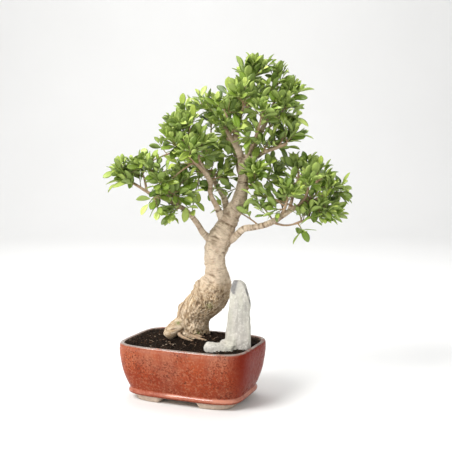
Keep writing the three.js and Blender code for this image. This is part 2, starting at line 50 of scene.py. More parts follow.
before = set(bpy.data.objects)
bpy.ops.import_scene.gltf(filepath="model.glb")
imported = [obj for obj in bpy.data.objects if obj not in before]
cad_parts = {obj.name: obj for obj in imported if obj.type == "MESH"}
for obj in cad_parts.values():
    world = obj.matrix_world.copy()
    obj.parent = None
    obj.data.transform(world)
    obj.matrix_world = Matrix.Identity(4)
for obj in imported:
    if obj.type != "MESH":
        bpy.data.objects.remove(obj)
POT_LOW, POT_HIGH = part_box("pot")
FOOT_DEPTH = 3.5
POT_CENTRE = np.array([
    (POT_LOW.x + POT_HIGH.x) / 2, (POT_LOW.y + POT_HIGH.y) / 2, POT_LOW.z + FOOT_DEPTH / 1000,
])
FRONT_TURN = 0.39
SPRAY_NODES = sorted(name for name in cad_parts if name.startswith("spray_"))
UP = np.array([0.0, 0.0, 1.0])
GOLDEN_TURN = math.radians(137.5)

# Sizes of the pot, its feet and the soil, in millimetres, the same as in the construction
POT_HALF_LENGTH = 126.0
POT_HALF_WIDTH = 87.0
POT_HEIGHT = 102.0
POT_SQUARENESS = 5.0
WALL = 8.0
INSIDE_BEND = (111.5, 45.0)
INSIDE_FLOOR_REACH = 103.0
FLOOR_BOTTOM = 7.0
FLOOR_TOP = 15.5
FOOT_LENGTH = 97.0
FOOT_WIDTH = 66.0
FOOT_GAP_ALONG = 39.0
FOOT_GAP_ACROSS = 21.0
FOOT_SLANT = 4.0
DRAIN_RADIUS = 10.0
DRAIN_SPACING = 100.0
SOIL_EDGE_HEIGHT = 96.0
SOIL_MOUND_HEIGHT = 17.0
SOIL_GAP = 0.45  # between the soil and the pot's wall

# The trunk's line: x, y, height and radius of each point, in the front view
TRUNK = [
    [-4, 23, 84, 29], [-3, 22, 110, 31.5], [-2, 21, 128, 29.5], [2.5, 20, 147, 28.5], [14, 18, 164, 30],
    [27, 16.5, 177, 33], [36, 14, 194, 32.5], [41, 11.5, 208, 28], [43, 10, 220, 22.5], [42, 10, 239, 19],
    [41, 12, 256, 18.5], [43, 13, 271, 21], [48, 14, 287, 22.5], [55, 15, 303, 20], [62.5, 16, 318, 17.5],
    [68.5, 17, 331, 17], [77, 17, 344, 15], [85, 16, 359, 13], [90, 14, 380, 11], [93, 14, 400, 10.5],
    [94, 15, 420, 11], [94, 16, 438, 10],
]
# Bulges of the trunk: angle round it, height, spread of the angle and of the height, and rise
TRUNK_KNOTS = [
    [3.1, 147, 0.4, 5, 0.36], [0.5, 214, 0.6, 14, 0.1], [5.3, 290, 0.7, 9, 0.1],
    [2.9, 188, 0.6, 9, 0.16], [4.4, 364, 0.6, 7, 0.12],
]
# Limbs, with points like the trunk's
PRIMARY = {
    "left_low": [
        [40, 14, 282, 8.4], [20, 8, 300.5, 6], [10, 0, 317.5, 5.2], [-3, -10, 335, 4.8], [-14, -16, 347, 4.5],
        [-26, -22, 354, 4.2], [-39, -26, 361, 3.7], [-56, -29, 369, 3.2], [-73, -30, 375, 2.9],
        [-84, -31, 382, 2.6], [-97, -32, 390, 2.1], [-112, -32, 399, 1.6],
    ],
    "right_low": [
        [50, 13, 281, 8.4], [63, 11, 285, 7.6], [71, 8, 289, 6.8], [81, 2, 298, 6.5], [94, -4, 310, 6.2],
        [111, -8, 313, 5.8], [130, -12, 317.5, 5.7], [147, -14, 325, 5.6], [161, -16, 334, 5.3],
        [174, -18, 343, 4.7], [190, -18, 352, 4], [207, -18, 358, 3.3], [224, -16, 365, 2.8],
        [245, -14, 376, 2.2], [262, -12, 387, 1.7],
    ],
    "left_front_stem": [
        [60, 16, 318, 9], [50, 11, 336, 7], [43, 7, 352, 5], [36, 1, 366, 4.4], [32, -6, 380, 4.3],
        [33, -10, 392, 4.5], [28, -14, 405, 4.7], [21, -18, 416, 4.4], [14, -22, 431, 3.9],
        [7, -26, 445, 3.4], [-3, -30, 459, 2.7], [-17, -33, 474, 2],
    ],
    "left_back_stem": [
        [66, 18, 328, 9], [61, 26, 350, 6.4], [58, 30, 363, 5.9], [52, 33, 376, 5.6], [44, 36, 387, 5],
        [36, 40, 399, 4.7], [25, 46, 414, 4.1], [14, 52, 431, 3.4], [3, 56, 452, 2.8], [-6, 59, 476, 2.1],
        [-8, 58, 500, 1.6],
    ],
    "crown_left": [
        [94, 16, 424, 8.6], [86, 14, 447, 6.5], [79, 14, 466, 5.5], [79, 12, 490, 4.6], [87, 10, 517, 4],
        [94, 10, 544, 3.2], [99, 10, 568, 2.4], [101, 10, 588, 1.7],
    ],
    "crown_right": [
        [94, 16, 424, 8.6], [105, 20, 450, 6.9], [116, 24, 468, 5.5], [127, 26, 490, 4.6],
        [138, 28, 512, 3.6], [148, 28, 536, 2.6], [154, 26, 556, 1.8],
    ],
    "crown_side": [
        [92, 15, 426, 7], [114, 4, 441, 5], [133, -10, 451, 4], [152, -20, 458, 3], [168, -24, 464, 2.1],
    ],
}
ROOTS = {
    "root_left": [
        [-8, 20, 130, 20], [-21, 10, 129, 15.5], [-32, 3, 124, 14], [-41, 0, 117, 12.5], [-49, -2, 108, 8.5],
    ],
    "root_front": [[-14, 4, 114, 10], [-4, -5, 109, 7], [8, -11, 104, 5], [18, -15, 98, 3.5]],
    "root_right": [[6, 20, 116, 15], [16, 13, 110, 9], [24, 9, 104, 6], [30, 6, 97, 4]],
    "root_back": [[-4, 32, 120, 16], [-8, 48, 112, 11], [-14, 60, 105, 8], [-19, 70, 96, 5]],
}
# Thin red-brown roots that leave the trunk's foot and lie on the soil
SURFACE_ROOTS = [
    [[-18, 0, 117, 4.5], [-6, -7, 113, 3.3], [8, -13, 109, 2.6], [22, -17, 105.5, 2], [31, -16, 102, 1.3]],
    [[-2, -4, 114, 3.6], [8, -8, 112, 2.7], [19, -8, 109, 2], [30, -4, 106, 1.3]],
    [[-28, -4, 118, 4], [-22, -12, 112, 3], [-10, -18, 108, 2.2], [2, -19, 104, 1.4]],
]
# Finer limbs, which carry most of the sprays
FINER = [
    [[-37, -25, 360, 3], [-45, -31, 375, 2.5], [-52, -39, 392, 2], [-57, -45, 402, 1.5]],
    [[-81, -31, 381, 2.4], [-84, -22, 395, 2], [-88, -13, 407, 1.5]],
    [[-24, -21, 353, 3], [-30, -12, 366, 2.2], [-37, -6, 376, 1.5]],
    [[22, -18, 414, 3.6], [8, -38, 430, 2.6], [-3, -55, 443, 1.6]],
    [[8, -26, 444, 2.8], [-14, -35, 452, 2.2], [-32, -42, 464, 1.5]],
    [[27, 45, 412, 3.6], [12, 64, 421, 2.6], [-2, 76, 429, 1.6]],
    [[4, 56, 450, 2.6], [-12, 62, 470, 2.1], [-24, 66, 484, 1.5]],
    [[15, 51, 429, 3], [25, 58, 452, 2.4], [33, 58, 482, 1.6]],
    [[80, 14, 464, 4.2], [67, 36, 472, 3], [63, 58, 475, 2.2], [64, 74, 477, 1.6]],
    [
        [86, 15, 448, 5.6], [77, 12, 464, 4.8], [68, 10, 479, 4], [60, 13, 493, 3], [53, 20, 507, 2.2],
        [49, 30, 519, 1.5],
    ],
    [[79, 12, 490, 3.6], [66, -2, 508, 2.6], [58, -7, 526, 1.6]],
    [[87, 10, 515, 3.2], [90, -18, 523, 2.4], [92, -38, 532, 1.6]],
    [[88, 10, 520, 3], [100, 34, 532, 2.3], [116, 54, 545, 1.6]],
    [[106, 20, 450, 4], [112, -8, 470, 3], [118, -34, 490, 2.2], [121, -50, 504, 1.6]],
    [[118, 24, 470, 4], [130, 46, 478, 3], [140, 60, 494, 2.2], [152, 74, 506, 1.6]],
    [[138, 28, 510, 2.8], [160, 24, 520, 2.2], [172, 22, 534, 1.6]],
    [[93, 14, 398, 5], [84, 40, 418, 3.6], [82, 62, 442, 2.8], [84, 74, 476, 2.1], [86, 78, 508, 1.5]],
    [[90, 14, 378, 4], [104, 4, 387, 2.6], [112, -5, 398, 1.6]],
    [[94, 15, 414, 5], [112, 30, 413, 3.6], [130, 40, 406, 2.6], [143, 43, 399, 1.7]],
    [[160, -16, 333, 3.8], [167, -25, 350, 2.6], [170, -34, 362, 1.7]],
    [[175, -18, 344, 3.6], [182, -4, 366, 2.8], [190, 6, 390, 2.2], [195, 9, 414, 1.6]],
    [[191, -18, 352, 3], [203, -33, 370, 2.2], [206, -43, 384, 1.5]],
    [[208, -18, 359, 2.6], [221, -12, 384, 2], [227, -9, 404, 1.5]],
    [[189, -18, 351, 3], [207, 8, 360, 2.4], [221, 28, 366, 1.9], [230, 40, 370, 1.5]],
    [
        [144, -14, 323, 2.4], [168, -19, 318, 1.6], [190, -22, 322, 1.5], [207, -26, 330, 1.4],
        [226, -30, 338, 1.3],
    ],
]
# The stone's outlines: x, y, height, half width and half depth of each, in the front view
STONE_SLAB = [
    [84, -42, 84, 22, 13], [83.5, -42, 100, 22, 14.5], [83.5, -43, 118, 22, 14], [83.5, -43, 138, 21.5, 13],
    [85.3, -43, 155, 21.3, 12.5], [86.6, -43, 170, 20.8, 12], [87, -43, 186, 19.4, 11],
    [86.5, -42, 199, 17.8, 10.5], [85.4, -42, 207, 16, 10], [83.4, -42, 214, 12.5, 8.5],
    [80.5, -42, 221.5, 7, 6],
]
STONE_TOE = [
    [48, -55, 84, 24, 11], [47, -56, 94, 26, 13], [46, -56, 103, 25, 12], [41, -58, 108, 18, 9],
    [34, -58, 112, 9, 5.5],
]
STONE_RAMP = [[62, -34, 84, 19, 9], [62, -36, 100, 18, 9], [68, -39, 122, 8, 7]]
# Tips of the outer sprays, one for each node that they replace
SPRAY_TIPS = [
    [-130, -32, 418], [-118, -14, 412], [-92, -34, 424], [-74, -60, 424], [-56, -58, 396], [-112, -40, 397],
    [-38, -28, 342], [-40, 6, 384], [-16, -18, 402], [-32, -46, 480], [-22, -50, 499], [-7, -22, 502],
    [-26, -62, 460], [0, -80, 452], [24, -50, 468], [-12, 48, 525], [14, 30, 534], [-36, 72, 502],
    [-12, 88, 440], [34, 62, 520], [112, 8, 602], [100, 26, 586], [126, -2, 602], [92, -6, 564],
    [84, -58, 548], [157, 14, 592], [182, 26, 562], [168, -4, 530], [124, -66, 522], [132, 72, 562],
    [86, 88, 534], [168, 92, 520], [62, 92, 482], [182, -14, 480], [114, -22, 414], [155, 44, 408],
    [172, -44, 376], [192, 12, 424], [206, -60, 396], [222, -2, 414], [252, -22, 386], [268, -10, 370],
    [242, -44, 350], [240, 54, 384], [197, -44, 310],
]
# Tips of the shorter shoots that fill the crown between its limbs
INNER_TIPS = [
    [37, 50, 450], [59, 45, 426], [46, 55, 397], [65, 40, 375], [35, 50, 369], [70, 30, 454], [53, 40, 349],
    [92, -10, 507], [99, -20, 475], [113, -25, 489], [125, -20, 468],
    [139, -30, 507], [150, 0, 481], [165, 10, 457], [79, -15, 493], [108, 0, 390], [126, -15, 373],
    [142, 20, 395], [101, -10, 414], [160, 10, 362], [137, 0, 426], [120, 5, 357], [171, 30, 426],
    [-25, -20, 427], [-5, 0, 414], [13, 10, 426], [-42, 20, 417], [-124, -30, 404],
    [-43, -30, 374], [-14, -35, 372], [194, -30, 339], [221, -30, 334], [258, -20, 340],
    [237, 0, 344], [86, 10, 544], [113, -20, 556], [100, -15, 581], [139, -25, 568], [65, 0, 529],
    [124, -40, 541], [157, -20, 542], [150, 50, 500], [110, 60, 500], [60, 60, 470], [10, 50, 470],
    [-10, 20, 460], [200, 20, 380], [220, -30, 370], [180, -20, 400],
    [184, 0, 502], [60, 30, 410], [72, 40, 400], [0, -25, 374], [-8, -25, 352], [268, -20, 338],
    [60, -4, 498], [48, 8, 508], [70, 0, 516], [80, -24, 520],
    [182, -10, 470], [148, -26, 346], [109, -12, 371],
    [-60, -36, 348], [-76, -38, 360], [0, -16, 346], [10, 0, 376],
    [-134, -34, 394], [240, -10, 408], [212, 6, 430],
    [196, 0, 560], [92, 2, 604], [66, 10, 560], [46, 20, 540], [186, -6, 514], [28, 0, 438], [122, 0, 460],
    [232, -34, 332], [61, 20, 440],
]
HANGING_SPRAYS = (5, 44)  # these two carry no side shoots
# The first and last spray of each tier of the crown, counted from 0, the last one left out
REGIONS = {"left_tier": (0, 9), "middle_tier": (9, 20), "top_crown": (20, 34), "right_tier": (34, 45)}
# Where the leaves stand along an outer, an inner and a side shoot
LEAF_PLACES = [0.3, 0.42, 0.53, 0.63, 0.72, 0.8, 0.88, 0.95, 1.0]
INNER_PLACES = [0.4, 0.58, 0.72, 0.84, 0.93, 1.0]
SIDE_PLACES = [0.35, 0.6, 0.82, 1.0]
BASE_SPACING = 6.0
SHORTEST_SHOOT = 18.0


# Sums on arrays of points
def from_front(points):
    """Turns points of the tree's front view about the upright axis into the pot's own axes."""
    points = np.asarray(points, float)
    c, s = math.cos(FRONT_TURN), math.sin(FRONT_TURN)
    x, y = points[..., 0], points[..., 1]
    return np.stack([x * c - y * s, x * s + y * c, points[..., 2]], -1)


def unit(v):
    return v / np.maximum(np.linalg.norm(v, axis=-1, keepdims=True), 1e-9)


def smoothstep(low, high, x):
    t = np.clip((x - low) / (high - low), 0, 1)
    return t * t * (3 - 2 * t)


def lattice_noise(points, size, seed=0):
    """Random values from -1 to 1 on a cubic lattice of the given size, blended smoothly between corners."""
    scaled = np.asarray(points, float) / size
    cell = np.floor(scaled).astype(np.int64)
    part = scaled - cell
    part = part * part * (3 - 2 * part)
    total = np.zeros(scaled.shape[:-1])
    for corner in np.ndindex(2, 2, 2):
        at = cell + np.array(corner)
        mixed = (at[..., 0] * 73856093) ^ (at[..., 1] * 19349663) ^ (at[..., 2] * 83492791)
        mixed = mixed ^ (seed * 26544357)
        mixed = (mixed * 1103515245 + 12345) & 0x7FFFFFFF
        mixed = ((mixed ^ (mixed >> 13)) * 668265263) & 0x7FFFFFFF
        weight = np.prod(np.where(np.array(corner) == 1, part, 1 - part), axis=-1)
        total += weight * (mixed / 0x3FFFFFFF - 1)
    return total


def layered_noise(points, size, layers=4, seed=0):
    """Lattice noise added to itself at half the size and half the height, several times over."""
    return sum(lattice_noise(points, size / 2**k, seed + k) / 2**k for k in range(layers)) / 1.6


def limb_line(points, t):
    """Centres and radii at shares t of a centripetal spline through [x, y, z, radius] points: between two
    neighbours each centre is the cubic whose slopes weigh the steps by the fourth root of squared length."""
    rows = np.asarray(points, float)
    places = from_front(rows[:, :3])
    ends = np.vstack([2 * places[0] - places[1], places, 2 * places[-1] - places[-2]])
    at = np.asarray(t, float) * (len(rows) - 1)
    i = np.clip(np.floor(at).astype(int), 0, len(rows) - 2)
    w = (at - i)[:, None]
    p0, p1, p2, p3 = ends[i], ends[i + 1], ends[i + 2], ends[i + 3]
    steps = ((p0, p1), (p1, p2), (p2, p3))
    d0, d1, d2 = (np.sum((b - a) ** 2, 1, keepdims=True) ** 0.25 for a, b in steps)
    m1 = ((p1 - p0) / d0 - (p2 - p0) / (d0 + d1) + (p2 - p1) / d1) * d1
    m2 = ((p2 - p1) / d1 - (p3 - p1) / (d1 + d2) + (p3 - p2) / d2) * d1
    centre = p1 + m1 * w + (3 * (p2 - p1) - 2 * m1 - m2) * w**2 + (2 * (p1 - p2) + m1 + m2) * w**3
    radius = rows[i, 3] + (rows[i + 1, 3] - rows[i, 3]) * w[:, 0]
    return centre, radius


def carried_frames(centres):
    """Two cross directions at each centre, carried along the line without twisting it."""
    ahead = unit(np.gradient(centres, axis=0))
    side = np.array([1.0, 0.0, 0.0])
    sides = []
    for direction in ahead:
        side = side - direction * side.dot(direction)
        side = side / np.linalg.norm(side)
        sides.append(side)
    sides = np.array(sides)
    return ahead, sides, np.cross(ahead, sides)


def ring_faces(rows, sides):
    """Quads between rings, and triangles to the pole at each end. The poles are the last two points."""
    k = np.arange(sides)
    ahead = (k + 1) % sides
    r = np.arange(rows - 1)[:, None] * sides
    quads = np.stack([r + k, r + ahead, r + sides + ahead, r + sides + k], -1).reshape(-1, 4)
    first, last = rows * sides, rows * sides + 1
    top = (rows - 1) * sides
    start = np.stack([np.full(sides, first), ahead, k], -1)
    finish = np.stack([np.full(sides, last), top + k, top + ahead], -1)
    return quads, np.vstack([start, finish])


def tube(centres, reach):
    """A closed tube: rings of the given reach for every centre and angle, closed by a pole at each end."""
    rows, sides = reach.shape
    _, side, over = carried_frames(centres)
    angle = np.linspace(0, 2 * np.pi, sides, endpoint=False)
    ring = side[:, None] * np.cos(angle)[None, :, None] + over[:, None] * np.sin(angle)[None, :, None]
    points = centres[:, None] + ring * reach[..., None]
    quads, tris = ring_faces(rows, sides)
    return np.vstack([points.reshape(-1, 3), centres[:1], centres[-1:]]), quads, tris


def gather(parts):
    """Several (points, quads, tris) shapes as one."""
    points, quads, tris, used = [], [], [], 0
    for p, q, t in parts:
        points.append(p)
        quads.append(q + used)
        tris.append(t + used)
        used += len(p)
    return np.vstack(points), np.vstack(quads), np.vstack(tris)


def faces_outward(points, faces):
    """The faces, turned over if the volume they close is negative."""
    volume = 0.0
    for kind in faces:
        for k in range(1, kind.shape[1] - 1):
            a, b, c = points[kind[:, 0]], points[kind[:, k]], points[kind[:, k + 1]]
            volume += np.sum(a * np.cross(b, c))
    return faces if volume > 0 else [kind[:, ::-1] for kind in faces]


def new_mesh(name, points, faces, values=None, uv=None, smooth=True):
    """A mesh from points in millimetres in the pot's axes, with values and leaf coordinates if given."""
    faces = faces_outward(points, [kind for kind in faces if len(kind)])
    loops = np.concatenate([kind.ravel() for kind in faces]).astype(np.int32)
    sizes = np.concatenate([np.full(len(kind), kind.shape[1]) for kind in faces])
    starts = (np.cumsum(sizes) - sizes).astype(np.int32)
    mesh = bpy.data.meshes.new(name)
    mesh.vertices.add(len(points))
    mesh.vertices.foreach_set("co", (points / 1000 + POT_CENTRE).astype(np.float32).ravel())
    mesh.loops.add(len(loops))
    mesh.loops.foreach_set("vertex_index", loops)
    mesh.polygons.add(len(starts))
    mesh.polygons.foreach_set("loop_start", starts)
    mesh.polygons.foreach_set("use_smooth", np.full(len(starts), smooth))
    mesh.update(calc_edges=True)
    if uv is not None:
        mesh.uv_layers.new(name="UVMap").data.foreach_set("uv", uv[loops].astype(np.float32).ravel())
    set_values(mesh, values or {})
    if mesh.validate():
        raise RuntimeError(name + " has faces that Blender can't keep")
    return mesh


def set_values(mesh, values):
    for label, value in values.items():
        vector = value.ndim == 2
        layer = mesh.attributes.new(label, "FLOAT_VECTOR" if vector else "FLOAT", "POINT")
        layer.data.foreach_set("vector" if vector else "value", value.astype(np.float32).ravel())


def place_piece(name, mesh, materials, slot, *nodes):
    """Puts a mesh in the scene as a piece of the object that stands for the given nodes."""
    piece = bpy.data.objects.new(name, mesh)
    bpy.context.scene.collection.objects.link(piece)
    for material in materials:
        mesh.materials.append(material)
    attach(piece, "root")
    if nodes:
        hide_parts(*nodes)
    return piece


# Materials
PATCH_NUMBERS = {"Scale": 100.0, "Detail": 4.0, "Roughness": 0.55, "Low": 0.4, "High": 0.6}


def cloud_group():
    """Soft patches: a noise texture in the given place, from 0 below Low to 1 above High."""
    if "soft_patches" in bpy.data.node_groups:
        return bpy.data.node_groups["soft_patches"]
    tree = bpy.data.node_groups.new("soft_patches", "ShaderNodeTree")
    vector = tree.interface.new_socket("Vector", in_out="INPUT", socket_type="NodeSocketVector")
    vector.default_value = (0, 0, 0)
    for label, value in PATCH_NUMBERS.items():
        socket = tree.interface.new_socket(label, in_out="INPUT", socket_type="NodeSocketFloat")
        socket.default_value = value
    tree.interface.new_socket("Mask", in_out="OUTPUT", socket_type="NodeSocketFloat")
    entry = tree.nodes.new("NodeGroupInput")
    leave = tree.nodes.new("NodeGroupOutput")
    noise = tree.nodes.new("ShaderNodeTexNoise")
    span = tree.nodes.new("ShaderNodeMapRange")
    for label in ("Vector", "Scale", "Detail", "Roughness"):
        tree.links.new(entry.outputs[label], noise.inputs[label])
    tree.links.new(noise.outputs["Fac"], span.inputs["Value"])
    tree.links.new(entry.outputs["Low"], span.inputs["From Min"])
    tree.links.new(entry.outputs["High"], span.inputs["From Max"])
    tree.links.new(span.outputs["Result"], leave.inputs["Mask"])
    return tree


class Finish:
    """A material whose nodes are added one line at a time."""

    def __init__(self, name, **plain):
        self.material = bpy.data.materials.new(name)
        self.material.use_nodes = True
        self.tree = self.material.node_tree
        self.shader = self.tree.nodes["Principled BSDF"]
        for label, value in plain.items():
            self.shader.inputs[label.replace("_", " ")].default_value = value
        self.place = self.tree.nodes.new("ShaderNodeTexCoord").outputs["Object"]

    def link(self, source, target):
        self.tree.links.new(source, target)

    def stretched(self, place, scale):
        node = self.tree.nodes.new("ShaderNodeMapping")
        node.inputs["Scale"].default_value = scale
        self.link(place, node.inputs["Vector"])
        return node.outputs["Vector"]

    def patches(self, scale, low=0.4, high=0.6, detail=4.0, roughness=0.55, place=None):
        """Soft patches of the given scale, in the object's own place or in the one given."""
        node = self.tree.nodes.new("ShaderNodeGroup")
        node.node_tree = cloud_group()
        self.link(place or self.place, node.inputs["Vector"])
        for label, value in zip(PATCH_NUMBERS, (scale, detail, roughness, low, high)):
            node.inputs[label].default_value = value
        return node.outputs["Mask"]

    def value(self, label, kind="Fac"):
        node = self.tree.nodes.new("ShaderNodeAttribute")
        node.attribute_name = label
        return node.outputs[kind]

    def mix(self, mask, first, second):
        node = self.tree.nodes.new("ShaderNodeMix")
        node.data_type = "RGBA"
        self.feed(mask, node.inputs[0])
        self.feed(first, node.inputs[6])
        self.feed(second, node.inputs[7])
        return node.outputs[2]

    def cover(self, colour, mask, strength, coat):
        """The colour with a coat laid over it where the mask is, at the given strength."""
        return self.mix(self.times(mask, strength), colour, coat)

    def times(self, first, second):
        return self.maths("MULTIPLY", first, second)

    def maths(self, operation, first, second=0.0):
        node = self.tree.nodes.new("ShaderNodeMath")
        node.operation = operation
        self.feed(first, node.inputs[0])
        self.feed(second, node.inputs[1])
        return node.outputs[0]

    def span(self, value, low, high, to_low=0.0, to_high=1.0):
        node = self.tree.nodes.new("ShaderNodeMapRange")
        self.feed(value, node.inputs["Value"])
        for label, number in (("From Min", low), ("From Max", high), ("To Min", to_low), ("To Max", to_high)):
            node.inputs[label].default_value = number
        return node.outputs["Result"]

    def axis(self, place, letter):
        node = self.tree.nodes.new("ShaderNodeSeparateXYZ")
        self.link(place, node.inputs[0])
        return node.outputs[letter]

    def feed(self, source, socket):
        if isinstance(source, bpy.types.NodeSocket):
            self.link(source, socket)
        elif isinstance(source, (int, float)):
            socket.default_value = (source, source, source, 1.0) if socket.type == "RGBA" else source
        else:
            socket.default_value = (*source[:3], 1.0)

    def colour(self, source):
        self.feed(source, self.shader.inputs["Base Color"])

    def roughness(self, source):
        self.feed(source, self.shader.inputs["Roughness"])

    def bump(self, height, distance, strength):
        node = self.tree.nodes.new("ShaderNodeBump")
        node.inputs["Strength"].default_value = strength
        node.inputs["Distance"].default_value = distance
        self.link(height, node.inputs["Height"])
        self.link(node.outputs["Normal"], self.shader.inputs["Normal"])


# Heights above the floor, in metres, between which the glaze wears off the rim, the base moulding
# gets its painted pale highlight and its gloss, and the glaze ends
RIM_WEAR = (0.1030, 0.1048)
MOULDING_TOP = (0.0222, 0.0205)
MOULDING_FOOT = (0.0135, 0.0165)
GLAZE_END = (0.0112, 0.0108)


def glaze_finish(colours):
    """Copper red that is lightest and most mottled on the upper front, with painted shade in deep red on the
    pot's right side and a painted pale pink highlight along the base moulding, and glossy where it pooled on
    the moulding and below the rim."""
    f = Finish("copper_red_glaze", Coat_Roughness=0.12, IOR=1.5, Specular_IOR_Level=0.05)
    streaks = f.stretched(f.place, (1.0, 1.0, 0.25))
    height = f.axis(f.place, "Z")
    # Painted shade: the pot's right end, turned from the window light, gets deep red and its coat fades out
    painted_shade_side = f.span(f.axis(f.place, "X"), POT_CENTRE[0] + 0.098, POT_CENTRE[0] + 0.121)
    colour = f.mix(f.patches(30, 0.34, 0.66, 5, 0.55), colours.glaze, colours.glaze_deep)
    colour = f.cover(colour, f.span(height, 0.07, 0.1), 0.22, colours.glaze_fleck)
    colour = f.cover(colour, f.patches(17, 0.46, 0.62, 3), 0.35, (0.40, 0.17, 0.105))
    colour = f.cover(colour, f.span(height, 0.06, 0.022), 0.6, colours.glaze_deep)
    colour = f.cover(colour, f.patches(250, 0.5, 0.62, 4), 0.45, colours.glaze_fleck)
    colour = f.cover(colour, f.patches(120, 0.5, 0.72, 4, place=streaks), 0.4, colours.glaze_deep)
    speckled = f.times(f.patches(20, 0.4, 0.56, 3), f.patches(330, 0.52, 0.6, 3))
    colour = f.cover(colour, speckled, 0.8, (0.10, 0.02, 0.01))
    # Painted shade: near-black red laid over the pot's right end
    colour = f.cover(colour, painted_shade_side, 0.94, (0.185, 0.013, 0.004))
    colour = f.cover(colour, f.span(height, *RIM_WEAR), f.patches(70, 0.25, 0.5, 5), colours.glaze_rim)
    # Painted highlight: a pale pink along the base moulding's shoulder, in patches; the same band gets the
    # glossy coat
    moulding_highlight = f.times(f.span(height, *MOULDING_TOP), f.span(height, *MOULDING_FOOT))
    colour = f.cover(colour, f.times(moulding_highlight, 0.75), f.patches(28, 0.3, 0.62, 4), (0.60, 0.25, 0.165))
    bare = f.span(height, *GLAZE_END)
    f.colour(f.mix(bare, colour, colours.clay))
    pooled = f.maths("MAXIMUM", moulding_highlight, f.times(f.span(height, 0.094, 0.1), 0.7))
    glossy = f.times(f.span(pooled, 0, 1, 0.06, 0.9), f.span(painted_shade_side, 0, 1, 1.0, 0.0))
    f.feed(f.times(glossy, f.maths("SUBTRACT", 1.0, bare)), f.shader.inputs["Coat Weight"])
    f.roughness(f.mix(bare, f.span(f.patches(120, 0.3, 0.7), 0, 1, 0.2, 0.36), 0.85))
    f.bump(f.patches(300, 0.2, 0.8, 3), 0.0003, 0.3)
    return f.material


def inner_wall_finish(colours):
    """The pot's inside above the soil: dark brown mottled with the soil's colours."""
    f = Finish("dark_inner_wall")
    colour = f.mix(f.patches(90, 0.35, 0.65, 5), (0.24, 0.17, 0.12), colours.soil_fibre)
    f.colour(f.mix(f.patches(220, 0.35, 0.6, 4), colour, colours.soil))
    f.roughness(0.9)
    f.bump(f.patches(700, 0.3, 0.7, 4), 0.0005, 0.5)
    return f.material


def clay_finish(colours):
    """Bare fired clay with dark specks."""
    f = Finish("bare_clay", IOR=1.45)
    colour = f.mix(f.patches(120, 0.35, 0.7), colours.clay, colours.clay_dark)
    f.colour(f.cover(colour, f.patches(900, 0.62, 0.7, 2), 0.6, (0.12, 0.07, 0.04)))
    f.roughness(0.88)
    f.bump(f.patches(1400, 0.3, 0.7, 4), 0.0004, 0.5)
    return f.material


def soil_finish(colours):
    """Dark moist peat with red-brown fibres."""
    f = Finish("moist_peat", Specular_IOR_Level=0.12)
    colour = f.mix(f.patches(260, 0.35, 0.65, 6, 0.7), colours.soil, colours.soil_dark)
    f.colour(f.cover(colour, f.patches(700, 0.6, 0.7, 3), 0.7, colours.soil_fibre))
    f.roughness(0.95)
    f.bump(f.patches(500, 0.25, 0.75, 8, 0.75), 0.002, 0.9)
    return f.material


def crumb_finish(colours):
    """Loose bits: most of them peat, some of red-brown bark and a few pale."""
    f = Finish("peat_and_bark_bits", Specular_IOR_Level=0.15)
    tone = f.value("tone")
    colour = f.mix(f.span(tone, 0.0, 0.7), colours.soil_dark, colours.soil)
    colour = f.mix(f.span(tone, 0.72, 0.86), colour, colours.soil_fibre)
    colour = f.mix(f.span(tone, 0.95, 0.99), colour, (0.34, 0.27, 0.2))
    f.colour(f.cover(colour, f.patches(900, 0.4, 0.6), 0.5, colours.soil_dark))
    f.roughness(0.9)
    f.bump(f.patches(1800, 0.3, 0.7, 3), 0.0006, 0.6)
    return f.material


def thread_finish():
    """Brown skin of the fine roots."""
    f = Finish("root_thread")
    f.colour(f.mix(f.patches(400, 0.4, 0.6), (0.30, 0.20, 0.13), (0.16, 0.10, 0.06)))
    f.roughness(0.75)
    f.bump(f.patches(2500, 0.3, 0.7, 2), 0.0002, 0.4)
    return f.material


